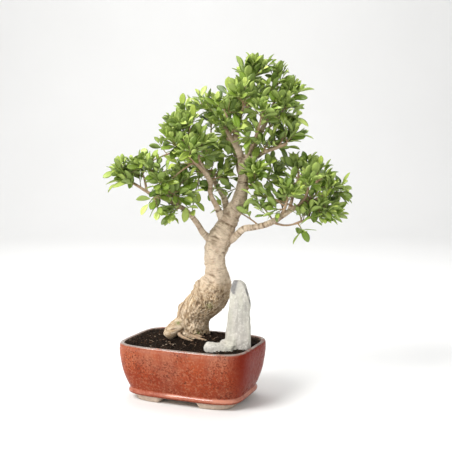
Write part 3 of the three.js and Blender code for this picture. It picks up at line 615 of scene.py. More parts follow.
def bark_finish(colours):
    """Light bark with grey, brown and dark patches and wrinkles that run across the limbs. Dark and pale
    strands run along the low trunk, the grooves of the relief get painted shade, the sides turned from the
    window light get painted shade in patches, thin wood is red-brown, and a few spots are mossy."""
    f = Finish("grey_beige_bark", IOR=1.4, Specular_IOR_Level=0.2)
    wood = f.value("bark_place", "Vector")
    strand = f.value("strand_place", "Vector")
    low = f.value("low_bark")
    across = f.stretched(wood, (0.16, 0.16, 1.0))
    along = f.stretched(wood, (1.0, 1.0, 0.12))
    colour = f.mix(f.patches(0.06, 0.36, 0.64, 6, 0.6, place=wood), colours.bark, colours.bark_grey)
    colour = f.cover(colour, f.patches(0.14, 0.5, 0.66, 4, place=wood), 0.45, (0.45, 0.29, 0.2))
    colour = f.cover(colour, f.patches(0.36, 0.52, 0.7, 4, place=across), 0.6, colours.bark_dark)
    colour = f.cover(colour, f.patches(0.9, 0.6, 0.7, 2, place=wood), 0.6, (0.82, 0.74, 0.62))
    brown = f.mix(f.patches(0.1, 0.4, 0.6, 5, place=wood), (0.56, 0.405, 0.245), (0.34, 0.225, 0.12))
    colour = f.cover(colour, low, f.patches(0.07, 0.28, 0.6, 5, place=wood), brown)
    dark_strands = f.times(low, f.patches(0.3, 0.52, 0.62, 4, 0.6, place=strand))
    colour = f.cover(colour, dark_strands, 0.7, (0.24, 0.155, 0.085))
    pale_strands = f.times(low, f.patches(0.42, 0.54, 0.64, 3, place=strand))
    colour = f.cover(colour, pale_strands, 0.8, (0.86, 0.73, 0.55))
    colour = f.mix(f.value("ridge"), colour, (0.74, 0.62, 0.46))
    # Painted shade: dark brown patches on the sides turned from the window light, right and down
    painted_shade = f.times(f.value("shaded"), f.patches(0.12, 0.34, 0.56, 4, place=wood))
    colour = f.cover(colour, painted_shade, 0.6, (0.22, 0.15, 0.085))
    # Painted shade: dark brown laid in the grooves of the bark's relief
    colour = f.mix(f.value("painted_groove_shade"), colour, (0.155, 0.095, 0.05))
    thin_wood = f.mix(f.patches(0.3, 0.4, 0.6, 3, place=wood), colours.twig, (0.42, 0.31, 0.2))
    colour = f.mix(f.value("young"), colour, thin_wood)
    moss = f.times(f.value("moss"), f.patches(0.35, 0.38, 0.58, 5, place=wood))
    green = f.mix(f.patches(1.6, 0.35, 0.65, 2, place=wood), (0.10, 0.15, 0.03), (0.22, 0.28, 0.07))
    f.colour(f.mix(moss, colour, green))
    f.roughness(f.span(f.patches(0.6, 0.3, 0.7, place=wood), 0, 1, 0.72, 0.92))
    wrinkles = f.patches(0.55, 0.25, 0.75, 5, 0.6, place=across)
    wrinkles = f.maths("ADD", wrinkles, f.times(f.patches(0.8, 0.3, 0.7, 4, place=along), 0.5))
    wrinkles = f.maths("ADD", wrinkles, f.times(f.patches(2.2, 0.3, 0.7, 3, place=wood), 0.35))
    f.bump(wrinkles, 0.0009, 0.85)
    return f.material


def stone_finish(colours):
    """Pale grey stone with darker and greenish streaks, and dark grey in a few spots near its top and its
    right edge.
    """
    f = Finish("pale_grey_stone", IOR=1.45)
    bands = f.stretched(f.place, (1.0, 1.0, 0.22))
    colour = f.mix(f.patches(30, 0.36, 0.64, 6, 0.6), colours.stone, colours.stone_dark)
    colour = f.cover(colour, f.patches(95, 0.5, 0.68, 5, place=bands), 0.5, colours.stone_dark)
    colour = f.cover(colour, f.patches(260, 0.54, 0.66, 4), 0.6, (0.80, 0.79, 0.73))
    colour = f.cover(colour, f.patches(42, 0.5, 0.66, 4, place=bands), 0.7, colours.stone_green)
    dark = f.mix(f.patches(200, 0.35, 0.65, 4), (0.24, 0.235, 0.24), (0.13, 0.125, 0.13))
    f.colour(f.cover(colour, f.value("dark_spots"), 0.85, dark))
    f.roughness(0.88)
    height = f.maths("ADD", f.patches(90, 0.3, 0.7, 7, 0.68), f.patches(160, 0.3, 0.7, 4, place=bands))
    f.bump(height, 0.0016, 0.8)
    return f.material


def leaf_finish(name, colours, under):
    """Leaf green that goes from light to dark with the leaf's age, with a pale middle rib and faint side
    ribs. The underside is paler and dull."""
    gloss = 0.0 if under else 0.3
    f = Finish(name, IOR=1.45, Coat_Weight=gloss, Coat_Roughness=0.22, Specular_IOR_Level=0.35)
    tone = f.value("tone")
    uv = f.tree.nodes.new("ShaderNodeUVMap")
    uv.uv_map = "UVMap"
    along = f.axis(uv.outputs["UV"], "X")
    side = f.maths("ABSOLUTE", f.maths("SUBTRACT", f.axis(uv.outputs["UV"], "Y"), 0.5))
    spread = f.span(tone, 0.15, 0.85)
    old = f.mix(spread, colours.leaf_old, colours.leaf_mid)
    young = f.mix(spread, colours.leaf_young, colours.leaf_tip)
    colour = f.mix(f.value("age"), young, old)
    colour = f.cover(colour, f.patches(220, 0.4, 0.7), 0.3, colours.leaf_mid)
    rib = f.span(side, 0.022, 0.0)
    slanted = f.maths("SUBTRACT", along, f.times(side, 0.5))
    side_ribs = f.span(f.maths("SINE", f.times(slanted, 88.0)), 0.86, 1.0)
    side_ribs = f.times(side_ribs, f.span(side, 0.47, 0.3))
    colour = f.cover(colour, rib, 0.6, colours.leaf_rib)
    colour = f.cover(colour, side_ribs, 0.16, colours.leaf_rib)
    if under:
        colour = f.mix(0.55, colour, colours.leaf_under)
    f.colour(f.mix(f.span(along, 0.03, 0.0), colour, colours.leaf_rib))
    f.roughness(0.6 if under else f.span(tone, 0, 1, 0.3, 0.46))
    f.bump(f.maths("SUBTRACT", f.times(side_ribs, 0.4), rib), 0.0003, 0.5)
    return f.material


def shoot_finish(colours):
    """A green shoot that turns to brown wood towards its base."""
    f = Finish("green_shoot")
    colour = f.mix(f.value("age"), (0.16, 0.2, 0.04), colours.twig)
    f.colour(f.cover(colour, f.patches(600, 0.4, 0.6), 0.4, (0.14, 0.08, 0.04)))
    f.roughness(0.6)
    f.bump(f.patches(1500, 0.3, 0.7, 2), 0.0002, 0.4)
    return f.material


def screen_finish():
    """Black plastic of the drain screens."""
    f = Finish("black_plastic_mesh", IOR=1.46)
    f.colour(f.mix(f.patches(500, 0.35, 0.65), (0.02, 0.02, 0.022), (0.035, 0.033, 0.03)))
    f.roughness(0.5)
    f.bump(f.patches(2200, 0.3, 0.7, 2), 0.0001, 0.3)
    return f.material


def floor_finish(colours):
    """The plain pale floor, very slightly uneven in tone."""
    f = Finish("pale_floor")
    f.colour(f.mix(f.patches(1.2, 0.3, 0.7), colours.floor, tuple(0.97 * c for c in colours.floor)))
    f.roughness(0.7)
    return f.material


# Pot
def outline(angle, reach, slimmer=POT_HALF_LENGTH - POT_HALF_WIDTH):
    """The pot's plan: a superellipse, its half length the reach and its half width slimmer by so much."""
    c, s = np.cos(angle), np.sin(angle)
    shrink = (np.abs(c) ** POT_SQUARENESS + np.abs(s) ** POT_SQUARENESS) ** (-1 / POT_SQUARENESS)
    width = np.maximum(reach - slimmer, 0)
    return np.stack(np.broadcast_arrays(reach * c * shrink, width * s * shrink), -1)


def crowded_angles(sides):
    """Angles round the pot, closer together at its corners."""
    turn = np.linspace(0, 2 * np.pi, sides, endpoint=False)
    return turn + 0.1 * np.sin(4 * turn)


def spline_rows(rows, count):
    """Points evenly spread along a smooth line through given [reach, height] rows."""
    rows = np.asarray(rows, float)
    step = np.concatenate([[0], np.cumsum(np.linalg.norm(np.diff(rows, axis=0), axis=1))])
    slopes = np.gradient(rows, step, axis=0)
    at = np.linspace(0, step[-1], count)
    i = np.clip(np.searchsorted(step, at, "right") - 1, 0, len(rows) - 2)
    h = (step[i + 1] - step[i])[:, None]
    w = ((at - step[i])[:, None]) / h
    a, b = rows[i], rows[i + 1]
    points = a * (1 - w) ** 2 * (1 + 2 * w) + b * w**2 * (3 - 2 * w)
    return points + slopes[i] * h * w * (1 - w) ** 2 - slopes[i + 1] * h * w**2 * (1 - w)


def inside_reach(height):
    """Half the length inside the pot: straight from the rim to the bend, and from there to the floor."""
    bend, level = INSIDE_BEND
    reaches = [INSIDE_FLOOR_REACH, bend, POT_HALF_LENGTH - WALL]
    return np.interp(height, [FLOOR_TOP, level, POT_HEIGHT], reaches)


# Reach and height along the wall: under the base moulding, up the outside, over the rim and down the inside
POT_WALL = [
    [103, 7.2], [107.6, 7.2], [110.4, 8.2], [112.1, 10.2], [112.6, 12.6], [111.9, 15], [110.4, 16.9],
    [110.3, 18.6], [112.2, 23], [115, 30], [118.4, 40], [121.3, 51], [123.6, 64], [125.2, 76], [126, 86],
    [126, 94], [125.5, 98.6], [124.4, 101], [122.6, 102], [120.2, 102], [118.6, 101.1], [117.9, 99],
    [116.7, 90], [114.3, 70], [111.5, 45], [106.6, 26], [103.6, 19], [99.5, 16.2], [94, 15.5],
]


def pot_shape(sides):
    """Rings of the plan carried up the outside of the wall, over the rim and down to the floor inside. Each
    ring is the plan at the profile's reach; the floor and the underside shrink evenly to a pole."""
    wall = spline_rows(POT_WALL, 110)
    angle = crowded_angles(sides)
    rings = outline(angle[None], wall[:, :1])
    rings = np.concatenate([rings, np.broadcast_to(wall[:, 1:2, None], rings.shape[:2] + (1,))], -1)
    wobble = 0.25 * lattice_noise(rings, 34, 4) + 0.12 * lattice_noise(rings, 9, 5)
    away = unit(rings * [1, 1, 0])
    rings = rings + away * wobble[..., None] * smoothstep(10, 20, rings[..., 2])[..., None]
    floor = [rings[-1] * [k, k, 1] for k in (0.8, 0.6, 0.4, 0.2)]
    under = [rings[0] * [k, k, 1] for k in (0.2, 0.4, 0.6, 0.8)]
    rings = np.concatenate([under, rings, floor])
    points = np.vstack([rings.reshape(-1, 3), [[0, 0, POT_WALL[0][1]]], [[0, 0, FLOOR_TOP]]])
    return points, *ring_faces(len(rings), sides)


def inside_faces(mesh):
    """1 for each face of the pot above the floor that lies nearer its middle than the wall's own middle."""
    centre = np.empty(len(mesh.polygons) * 3, np.float32)
    mesh.polygons.foreach_get("center", centre)
    x, y, z = ((centre.reshape(-1, 3) - POT_CENTRE) * 1000).T
    reach = inside_reach(z) + WALL / 2
    half_width = reach - POT_HALF_LENGTH + POT_HALF_WIDTH
    share = (np.abs(x) / reach) ** POT_SQUARENESS + (np.abs(y) / half_width) ** POT_SQUARENESS
    return ((share < 1) & (z > 12) & (z < 101.2)).astype(np.int32)


def foot_shape(corner_x, corner_y):
    """One foot: a rounded bar's section carried round a corner of the feet's own plan, from the gap on the
    long side to the gap on the short side. Each end leans, so the gap is wider below by twice the slant."""
    section = np.array([
        [86.5, 8], [85.6, 4.5], [85.8, -1], [86.6, -3], [88, -3.5], [91, -3.5], [94, -3.5], [96, -3.2],
        [97, -2.2], [98, 1], [99.8, 5], [101.6, 8],
    ])
    turn = np.linspace(0, np.pi / 2, 400)
    line = outline(turn, FOOT_LENGTH, FOOT_LENGTH - FOOT_WIDTH)
    lean = FOOT_SLANT * (1 - 2 * (section[:, 1] + FOOT_DEPTH) / (FLOOR_BOTTOM + 1 + FOOT_DEPTH))
    first = np.interp(FOOT_GAP_ACROSS + lean, line[:, 1], turn)
    last = np.interp(-FOOT_GAP_ALONG - lean, -line[:, 0], turn)
    angle = first + (last - first) * np.linspace(0, 1, 40)[:, None]
    rings = outline(angle, section[None, :, 0], FOOT_LENGTH - FOOT_WIDTH)
    rings = np.concatenate([rings, np.broadcast_to(section[None, :, 1:2], rings.shape[:2] + (1,))], -1)
    rings = rings + (0.35 * lattice_noise(rings, 7, 9))[..., None] * unit(rings * [1, 1, 0])
    ends = rings[[0, -1]].mean(1)
    points = np.vstack([rings.reshape(-1, 3), ends]) * [corner_x, corner_y, 1]
    quads, tris = ring_faces(len(rings), len(section))
    if corner_x * corner_y < 0:
        quads, tris = quads[:, ::-1], tris[:, ::-1]
    return points, quads, tris


def cut_drains(piece):
    """Two round holes through the floor, cut by solid drums that are then taken away."""
    for side in (-1, 1):
        turn = np.linspace(0, 2 * np.pi, 48, endpoint=False)
        across = side * DRAIN_SPACING / 2
        ring = np.stack([DRAIN_RADIUS * np.cos(turn) + across, DRAIN_RADIUS * np.sin(turn), turn * 0], -1)
        points = np.vstack([ring + [0, 0, 2], ring + [0, 0, 22], [[across, 0, 2]], [[across, 0, 22]]])
        drum = bpy.data.objects.new("drain_drum", new_mesh("drain_drum", points, list(ring_faces(2, 48))))
        bpy.context.scene.collection.objects.link(drum)
        cut = piece.modifiers.new("drain", "BOOLEAN")
        cut.operation = "DIFFERENCE"
        cut.object = drum
        cut.solver = "EXACT"
        settle(piece)
        bpy.data.objects.remove(drum)


def settle(piece):
    """Applies a piece's modifiers to its mesh."""
    depsgraph = bpy.context.evaluated_depsgraph_get()
    done = bpy.data.meshes.new_from_object(piece.evaluated_get(depsgraph))
    old = piece.data
    piece.modifiers.clear()
    piece.data = done
    bpy.data.meshes.remove(old)


# Soil
def soil_height(x, y):
    """The mound: a bell curve about the trunk, over a nearly level bed."""
    centre = from_front([0.0, 20.0, 0.0])
    away = np.hypot((x - centre[0]) / 95, (y - centre[1]) / 62)
    mound = SOIL_EDGE_HEIGHT + SOIL_MOUND_HEIGHT * np.exp(-away * away * 1.6)
    return mound + 0.9 * np.sin(x / 11) * np.sin(y / 9 + 1)


def soil_grain(x, y):
    """Lumps of three sizes on the bed."""
    flat = np.stack([x, y, x * 0], -1)
    lumps = 1.3 * lattice_noise(flat, 9, 21) + 0.9 * np.abs(lattice_noise(flat, 4.2, 22))
    return lumps + 0.6 * lattice_noise(flat, 2.1, 23) - 0.3


def soil_reach(height):
    return inside_reach(height) - SOIL_GAP


def soil_shape():
    """Rings of the pot's plan, shrinking to the middle, lifted to the mound and its lumps; then down the wall
    and in along the floor."""
    angle = crowded_angles(360)
    share = np.linspace(0.012, 1, 96)
    edge = outline(angle, soil_reach(SOIL_EDGE_HEIGHT))
    top = share[:, None, None] * edge[None]
    height = soil_height(top[..., 0], top[..., 1]) + soil_grain(top[..., 0], top[..., 1])
    rings = [np.concatenate([top, height[..., None]], -1)]
    for z, k in ((70, 1), (45, 1), (26, 0.99), (FLOOR_TOP + 2.2, 0.93), (FLOOR_TOP + 2.2, 0.5)):
        ring = outline(angle, soil_reach(z)) * k
        rings.append(np.concatenate([ring, np.full((len(ring), 1), float(z))], -1)[None])
    rings = np.concatenate(rings)
    points = np.vstack([rings.reshape(-1, 3), [[0, 0, soil_height(0.0, 0.0)]], [[0, 0, FLOOR_TOP + 2.2]]])
    return points, *ring_faces(len(rings), len(angle))


def crumbs_shape(count):
    """Many small angular bits: one eight-sided lump, stretched, turned and dropped on the bed at random."""
    rng = np.random.default_rng(11)
    corners = np.array([[1, 0, 0], [-1, 0, 0], [0, 1, 0], [0, -1, 0], [0, 0, 1], [0, 0, -1]], float)
    tris = np.array([[0, 2, 4], [2, 1, 4], [1, 3, 4], [3, 0, 4], [2, 0, 5], [1, 2, 5], [3, 1, 5], [0, 3, 5]])
    turn = rng.uniform(0, 2 * np.pi, count)
    share = np.sqrt(rng.uniform(0, 1, count)) * 0.985
    place = outline(turn, soil_reach(SOIL_EDGE_HEIGHT)) * share[:, None]
    size = 0.7 + 1.7 * rng.uniform(0, 1, count) ** 2.6
    shape = corners[None] * (size[:, None, None] * rng.uniform(0.45, 1.25, (count, 6, 1)))
    stretch = [rng.uniform(0.8, 1.9, count), rng.uniform(0.7, 1.2, count), rng.uniform(0.35, 0.9, count)]
    shape = shape * np.stack(stretch, -1)[:, None]
    turns = turned(rng.normal(size=(count, 3)) * [0.35, 0.35, 1], rng.uniform(0, 2 * np.pi, count))
    shape = np.einsum("nij,nkj->nki", turns, shape)
    height = soil_height(place[:, 0], place[:, 1]) + soil_grain(place[:, 0], place[:, 1]) + 0.25 * size
    points = shape + np.concatenate([place, height[:, None]], -1)[:, None]
    faces = tris[None] + 6 * np.arange(count)[:, None, None]
    return points.reshape(-1, 3), faces.reshape(-1, 3), np.repeat(rng.uniform(0, 1, count), 6)


def turned(axis, angle):
    """Rotation matrices about the axes: the usual sum of the identity, the cross matrix and its square."""
    x, y, z = unit(axis).T
    zero = np.zeros(len(x))
    cross = np.stack([zero, -z, y, z, zero, -x, -y, x, zero], -1).reshape(-1, 3, 3)
    s, c = np.sin(angle)[:, None, None], np.cos(angle)[:, None, None]
    return np.eye(3) + s * cross + (1 - c) * (cross @ cross)


# Fine roots that lie on the soil: where each starts and its heading in the front view, and its length
ROOT_THREADS = [
    [-51, -12, -1.3, 26], [-46, -14, -1.0, 15], [-17, -24, -1.5, 20], [-4, -30, -1.2, 13], [6, -34, -1.8, 12],
    [34, -18, 0.3, 22], [38, -12, 0.9, 18], [-72, -6, 2.6, 17], [-20, 62, 1.2, 24], [30, 60, 0.4, 20],
]


def threads_shape():
    """Fine roots: thin tubes along wavy lines that lie on the bed, their height the bed's own plus a hump."""
    rng = np.random.default_rng(5)
    parts = []
    for x, y, heading, length in ROOT_THREADS:
        share = np.linspace(0, 1, 26)
        bend = rng.uniform(-1.6, 1.6)
        wave = np.sin(share * rng.uniform(6, 11) + rng.uniform(0, 6))
        angle = FRONT_TURN + heading + bend * share + 0.5 * wave
        step = length / 25 * np.stack([np.cos(angle), np.sin(angle)], -1)
        flat = from_front([x, y, 0])[:2] + np.cumsum(step, 0)
        height = soil_height(flat[:, 0], flat[:, 1]) + 1.2 + rng.uniform(0.5, 2.4) * np.sin(np.pi * share)
        centres = np.concatenate([flat, height[:, None]], -1)
        radius = rng.uniform(0.3, 0.55) * (1 - 0.6 * share)
        parts.append(tube(centres, np.repeat(radius[:, None], 6, 1)))
    return gather(parts)


# Wood
def trunk_relief(angle, height):
    """Flutes, knots and the buttress flare, as a share of the radius for each angle and height."""
    rise = 0.035 * np.sin(5 * angle + height / 17) + 0.03 * np.sin(3 * angle - height / 26 + 1)
    for around, level, spread, tall, amount in TRUNK_KNOTS:
        turn = np.arctan2(np.sin(angle - around), np.cos(angle - around)) / spread
        rise = rise + amount * np.exp(-turn * turn - ((height - level) / tall) ** 2)
    flare = np.exp(-np.maximum(0, height - 100) / 14)
    return rise + flare * (0.06 + 0.08 * np.sin(4 * angle + 0.6))


def thin_share(points, radius):
    """How far along a limb it is when it first gets thinner than the radius."""
    share = np.linspace(0, 1, 300)
    radii = np.interp(share, np.linspace(0, 1, len(points)), [p[3] for p in points])
    return share[np.argmax(radii < radius)] if radii.min() < radius else 1.0


def limb_tube(points, sides, step, relief=None, grow=0.0, start=0.0, end=1.0):
    """A limb: rings about a step apart along its line, with the relief added to their radius."""
    length = np.linalg.norm(np.diff(np.asarray(points, float)[:, :3], axis=0), axis=1).sum()
    t = np.linspace(start, end, max(4, int(length * (end - start) / step)))
    centres, radius = limb_line(points, t)
    angle = np.linspace(0, 2 * np.pi, sides, endpoint=False)
    reach = np.repeat(radius[:, None], sides, 1) + grow
    if relief:
        reach = reach * (1 + relief(angle[None], centres[:, 2:3]))
    return tube(centres, reach)


def wood_lines():
    """Every limb's spline points, radii, distance along it and cross directions, in one table."""
    rows = []
    limbs = [TRUNK, *PRIMARY.values(), *ROOTS.values(), *SURFACE_ROOTS, *FINER]
    for number, points in enumerate(limbs):
        centres, radius = limb_line(points, np.linspace(0, 1, 8 * len(points)))
        ahead, side, over = carried_frames(centres)
        along = np.concatenate([[0], np.cumsum(np.linalg.norm(np.diff(centres, axis=0), axis=1))])
        rows.append(np.column_stack([centres, radius, along + 400 * number, side, over, ahead]))
    return np.vstack(rows)


def nearest_line(points, lines):
    """For each point, the row of the line whose surface is nearest."""
    best = np.empty(len(points), int)
    for first in range(0, len(points), 4000):
        some = points[first : first + 4000]
        gap = np.linalg.norm(some[:, None] - lines[None, :, :3], axis=2) - lines[None, :, 3]
        best[first : first + 4000] = gap.argmin(1)
    return best


def wood_values(points):
    """Each point's place on its limb as if the limb were straight: across, over and along; and its radius."""
    lines = wood_lines()
    row = lines[nearest_line(points, lines)]
    away = points - row[:, :3]
    across = np.sum(away * row[:, 5:8], 1)
    over = np.sum(away * row[:, 8:11], 1)
    along = row[:, 4] + np.sum(away * row[:, 11:14], 1)
    return np.stack([across, over, along], -1), row[:, 3]


# Where moss grows: a spot in the front view and how far it reaches
MOSS_SPOTS = [
    ([31, -12, 169], 6), ([24, -8, 117], 7), ([-28, -6, 137], 5), ([8, -8, 116], 5), ([-22, 34, 130], 9),
    ([30, 34, 126], 7),
]


def moss_share(points):
    """Green patches where moss grows: near a few spots on the low trunk and its roots."""
    total = np.zeros(len(points))
    for place, size in MOSS_SPOTS:
        total += np.exp(-np.sum((points - from_front(place)) ** 2, 1) / size**2)
    return np.clip(total, 0, 1)


def waist(angle, height):
    """Slight flutes of the limbs, as a share of the radius."""
    return 0.06 * np.sin(3 * angle + height / 9)


def grow_together(piece, cell):
    """Adds a remesh that makes one skin of parts that overlap, with cells of the given size in metres."""
    blend = piece.modifiers.new("grown_together", "REMESH")
    blend.mode = "VOXEL"
    blend.voxel_size = cell


def vertex_vectors(mesh, label):
    """A row for each vertex of the mesh: its place or its normal."""
    values = np.empty(len(mesh.vertices) * 3, np.float32)
    mesh.vertices.foreach_get(label, values)
    return values.reshape(-1, 3).astype(float)


def move_vertices(mesh, points):
    """Puts the vertices at places given in millimetres from the pot's middle."""
    mesh.vertices.foreach_set("co", (points / 1000 + POT_CENTRE).astype(np.float32).ravel())


def dress(mesh, material):
    """Smooth shading and one material for a mesh whose vertices were moved."""
    mesh.polygons.foreach_set("use_smooth", np.full(len(mesh.polygons), True))
    mesh.materials.clear()
    mesh.materials.append(material)
    mesh.update()


WOOD_CELL = 0.0013
BRANCH_SCAR = [90, 2, 361]  # the middle of the round scar on the upper trunk, in the front view


def wood_piece(material):
    """Trunk, limbs and roots: tubes grown together by a fine remesh, then pushed out and in by wrinkles that
    run across the limb, strands that run along the low trunk, and lumps of several sizes."""
    parts = [limb_tube(TRUNK, 72, 2.2, trunk_relief)]
    for points in PRIMARY.values():
        parts.append(limb_tube(points, 28, 2.2, waist, end=thin_share(points, 2.4)))
    for points in ROOTS.values():
        parts.append(limb_tube(points, 32, 2.2, waist))
    for points in FINER:
        if points[0][3] > 2.7:
            parts.append(limb_tube(points, 18, 2.0, waist, end=thin_share(points, 2.4)))
    points, quads, tris = gather(parts)
    mesh = new_mesh("trunk_and_limbs", points, [quads, tris])
    piece = place_piece("trunk_and_limbs", mesh, [], "bark", "trunk")
    grow_together(piece, WOOD_CELL)
    soften = piece.modifiers.new("soften", "SMOOTH")
    soften.factor = 0.5
    soften.iterations = 5
    settle(piece)
    mesh = piece.data
    points = (vertex_vectors(mesh, "co") - POT_CENTRE) * 1000
    normal = vertex_vectors(mesh, "normal")
    wood, radius = wood_values(points)
    around = unit(wood[:, :2]) * np.minimum(radius, 30)[:, None]
    straight = np.column_stack([around, wood[:, 2]])
    size = np.clip(radius / 20, 0.12, 1)
    low = smoothstep(222, 175, points[:, 2]) * smoothstep(8, 18, radius)
    twist = np.column_stack([around + 0.5 * wood[:, 2:3] * [[1, -1]], wood[:, 2] * 0.12])
    strands = 0.9 - 1.7 * np.abs(lattice_noise(twist, 3.8, 31)) - 1.3 * np.abs(lattice_noise(twist, 2.1, 32))
    rings = 1 - 2 * np.abs(lattice_noise(straight * [0.22, 0.22, 1], 6, 33))
    rings = rings - np.abs(lattice_noise(straight * [0.35, 0.35, 1], 2.8, 34))
    lumps = layered_noise(straight, 19, 3, 35)
    foot = smoothstep(150, 126, points[:, 2]) * layered_noise(points, 9, 3, 36)
    relief = size * ((1 - low) * 1.2 * rings + low * (1.9 * strands + 0.5 * rings) + 1.7 * lumps + 2.1 * foot)
    scar_gap = np.linalg.norm(points - from_front(BRANCH_SCAR), axis=1)
    relief = relief + 1.1 * np.exp(-(((scar_gap - 6) / 1.8) ** 2)) - 1.2 * np.exp(-((scar_gap / 3.4) ** 2))
    points = points + normal * relief[:, None]
    move_vertices(mesh, points)
    groove = np.where(low > 0.5, 1.7 * strands, 1.2 * rings) + 0.5 * lumps
    # Painted shade for the bark's colour: how deep each point lies in a groove of the relief
    painted_groove_shade = smoothstep(0.1, 1.5, -groove) * 0.85
    # Painted shade for the bark's colour: how far each point faces away from the window light, right and down
    facing = normal @ from_front([0.86, -0.05, -0.5])
    shaded = smoothstep(0.45, 0.95, facing + 0.2 * lattice_noise(points, 8, 37))
    set_values(mesh, {
        "bark_place": straight,
        "strand_place": twist,
        "painted_groove_shade": painted_groove_shade,
        "shaded": shaded,
        "low_bark": 0.9 * smoothstep(225, 185, points[:, 2]),
        "ridge": smoothstep(0.5, 1.3, strands) * low * 0.55,
        "young": smoothstep(6.5, 2.2, radius) * 0.8,
        "moss": moss_share(points),
    })
    dress(mesh, material)


def twigs_shape():
    """Surface roots, thin ends of the limbs and finer limbs: tubes that start inside thicker wood."""
    parts = [limb_tube(points, 12, 1.6, None, 0.1) for points in SURFACE_ROOTS]
    for points in PRIMARY.values():
        parts.append(limb_tube(points, 10, 1.6, None, 0.15, thin_share(points, 3.2)))
    for points in FINER:
        parts.append(limb_tube(points, 10, 1.6, None, 0.12))
    return gather(parts)


# Stone
def rock_tube(outlines, rows, sides, seed):
    """A stack of ellipses along given centres, each corner pushed in or out by noise."""
    table = np.asarray(outlines, float)
    at = np.linspace(0, len(table) - 1, rows)
    x, y, z, half_x, half_y = (np.interp(at, np.arange(len(table)), table[:, k])[:, None] for k in range(5))
    angle = np.linspace(0, 2 * np.pi, sides, endpoint=False)[None]
    c, s = np.cos(angle), np.sin(angle)
    square = (np.abs(c) ** 5 + np.abs(s) ** 5) ** (-1 / 5)
    flat = np.stack([x + c * half_x * square, y + s * half_y * square, z + 0 * c], -1)
    push = 1.5 * lattice_noise(flat, 19, seed) + 0.8 * lattice_noise(flat * [1, 1, 0.5], 8, seed + 1)
    flat = flat + np.stack([c, s, 0 * c], -1) * push[..., None]
    ends = np.array([[x[0, 0], y[0, 0], z[0, 0]], [x[-1, 0], y[-1, 0], z[-1, 0]]])
    points = from_front(np.vstack([flat.reshape(-1, 3), ends]))
    return points, *ring_faces(rows, sides)


# Flat faces broken off the stone: a point on the face and its outward direction, in the front view
STONE_CHIPS = [
    ([71, -50, 213], [-0.62, -0.6, 0.5]), ([80, -54.5, 180], [-0.35, -0.93, 0.05]),
    ([98, -53.5, 170], [0.3, -0.95, 0.02]), ([104, -44, 184], [0.93, -0.2, 0.3]),
    ([106, -42, 130], [0.98, -0.15, 0.1]), ([88, -44, 219], [0.5, -0.2, 0.84]),
    ([96, -56, 152], [0.3, -0.95, 0.02]), ([66, -46, 160], [-0.97, -0.2, 0.06]),
    ([88, -30, 180], [0.15, 0.98, 0.1]), ([72, -56, 152], [-0.35, -0.93, 0.02]),
    ([30, -60, 111], [-0.35, -0.25, 0.9]),
    ([52, -58, 107.5], [0.16, -0.12, 0.98]), ([44, -66, 106], [0.0, -0.75, 0.66]),
]
# Where the stone is dark grey: a point and how far the dark reaches
STONE_DARK_SPOTS = [
    ([73, -52, 213], 8), ([101, -47, 201], 5), ([106, -46, 186], 5), ([106, -46, 150], 4),
    ([76, -50, 219], 6),
]
STONE_CELL = 0.0011


def stone_piece(material):
    """Three rough stacks grown together by a fine remesh, cut back to flat chips, then roughened by noise."""
    parts = [
        rock_tube(STONE_SLAB, 90, 90, 51),
        rock_tube(STONE_TOE, 30, 70, 54),
        rock_tube(STONE_RAMP, 30, 50, 57),
    ]
    points, quads, tris = gather(parts)
    mesh = new_mesh("upright_stone", points, [quads, tris])
    piece = place_piece("upright_stone", mesh, [], "stone", "stone")
    grow_together(piece, STONE_CELL)
    settle(piece)
    mesh = piece.data
    points = (vertex_vectors(mesh, "co") - POT_CENTRE) * 1000
    for spot, direction in STONE_CHIPS:
        out = unit(from_front(np.array(direction, float)))
        past = (points - from_front(spot)) @ out
        reach = np.exp(-(np.linalg.norm(points - from_front(spot), axis=1) / 42) ** 4)
        points = points - out * (np.maximum(past, 0) * reach)[:, None]
    move_vertices(mesh, points)
    mesh.update()
    normal = vertex_vectors(mesh, "normal")
    streaks = np.abs(lattice_noise(points * [1, 1, 0.3], 7, 61))
    streaks = streaks + 0.4 * np.abs(lattice_noise(points * [1, 1, 0.5], 2.6, 62))
    relief = 0.75 * layered_noise(points, 9, 4, 63) - 0.7 * (streaks - 0.35)
    points = points + normal * relief[:, None]
    move_vertices(mesh, points)
    gaps = []
    for spot, size in STONE_DARK_SPOTS:
        gaps.append(np.linalg.norm((points - from_front(spot)) * [1, 1, 0.6], axis=1) / size)
    edge = 0.35 * lattice_noise(points, 4, 66)
    set_values(mesh, {"dark_spots": smoothstep(1.25, 0.85, np.min(gaps, axis=0) + edge)})
    dress(mesh, material)


# Foliage
class Draw:
    """Repeatable random numbers, the same as in the construction."""

    def __init__(self, seed):
        self.state = seed * 7919 + 17
        for _ in range(4):
            self.next()

    def next(self):
        self.state = (self.state * 1664525 + 1013904223) % 4294967296
        return self.state / 4294967296

    def between(self, low, high):
        return low + (high - low) * self.next()


def spray_bases(tips):
    """Each spray's own place on the wood: the nearest free one that leaves room for a shoot. A place above
    the tip counts as further away."""
    shares = np.array([0.4, 0.5, 0.6, 0.7, 0.8, 0.9, 0.98])
    places = np.vstack([limb_line(points, shares)[0] for points in [*PRIMARY.values(), *FINER]])
    taken, bases = [], []
    for tip in tips:
        reach = np.linalg.norm(places - tip, axis=1)
        cost = np.maximum(reach, 2 * SHORTEST_SHOOT - reach) + 0.6 * np.maximum(0, places[:, 2] - tip[2] + 12)
        for other in taken:
            cost = np.where(np.linalg.norm(places - other, axis=1) > BASE_SPACING, cost, 1e9)
        best = places[cost.argmin()]
        taken.append(best)
        bases.append(best)
    return bases


def crossways(ahead):
    side = np.cross(ahead, UP)
    if np.linalg.norm(side) < 0.2:
        side = np.array([1.0, 0, 0]) - ahead * ahead[0]
    side = side / np.linalg.norm(side)
    return side, np.cross(side, ahead)


def radial(ahead, angle):
    side, over = crossways(ahead)
    return side * math.cos(angle) + over * math.sin(angle)


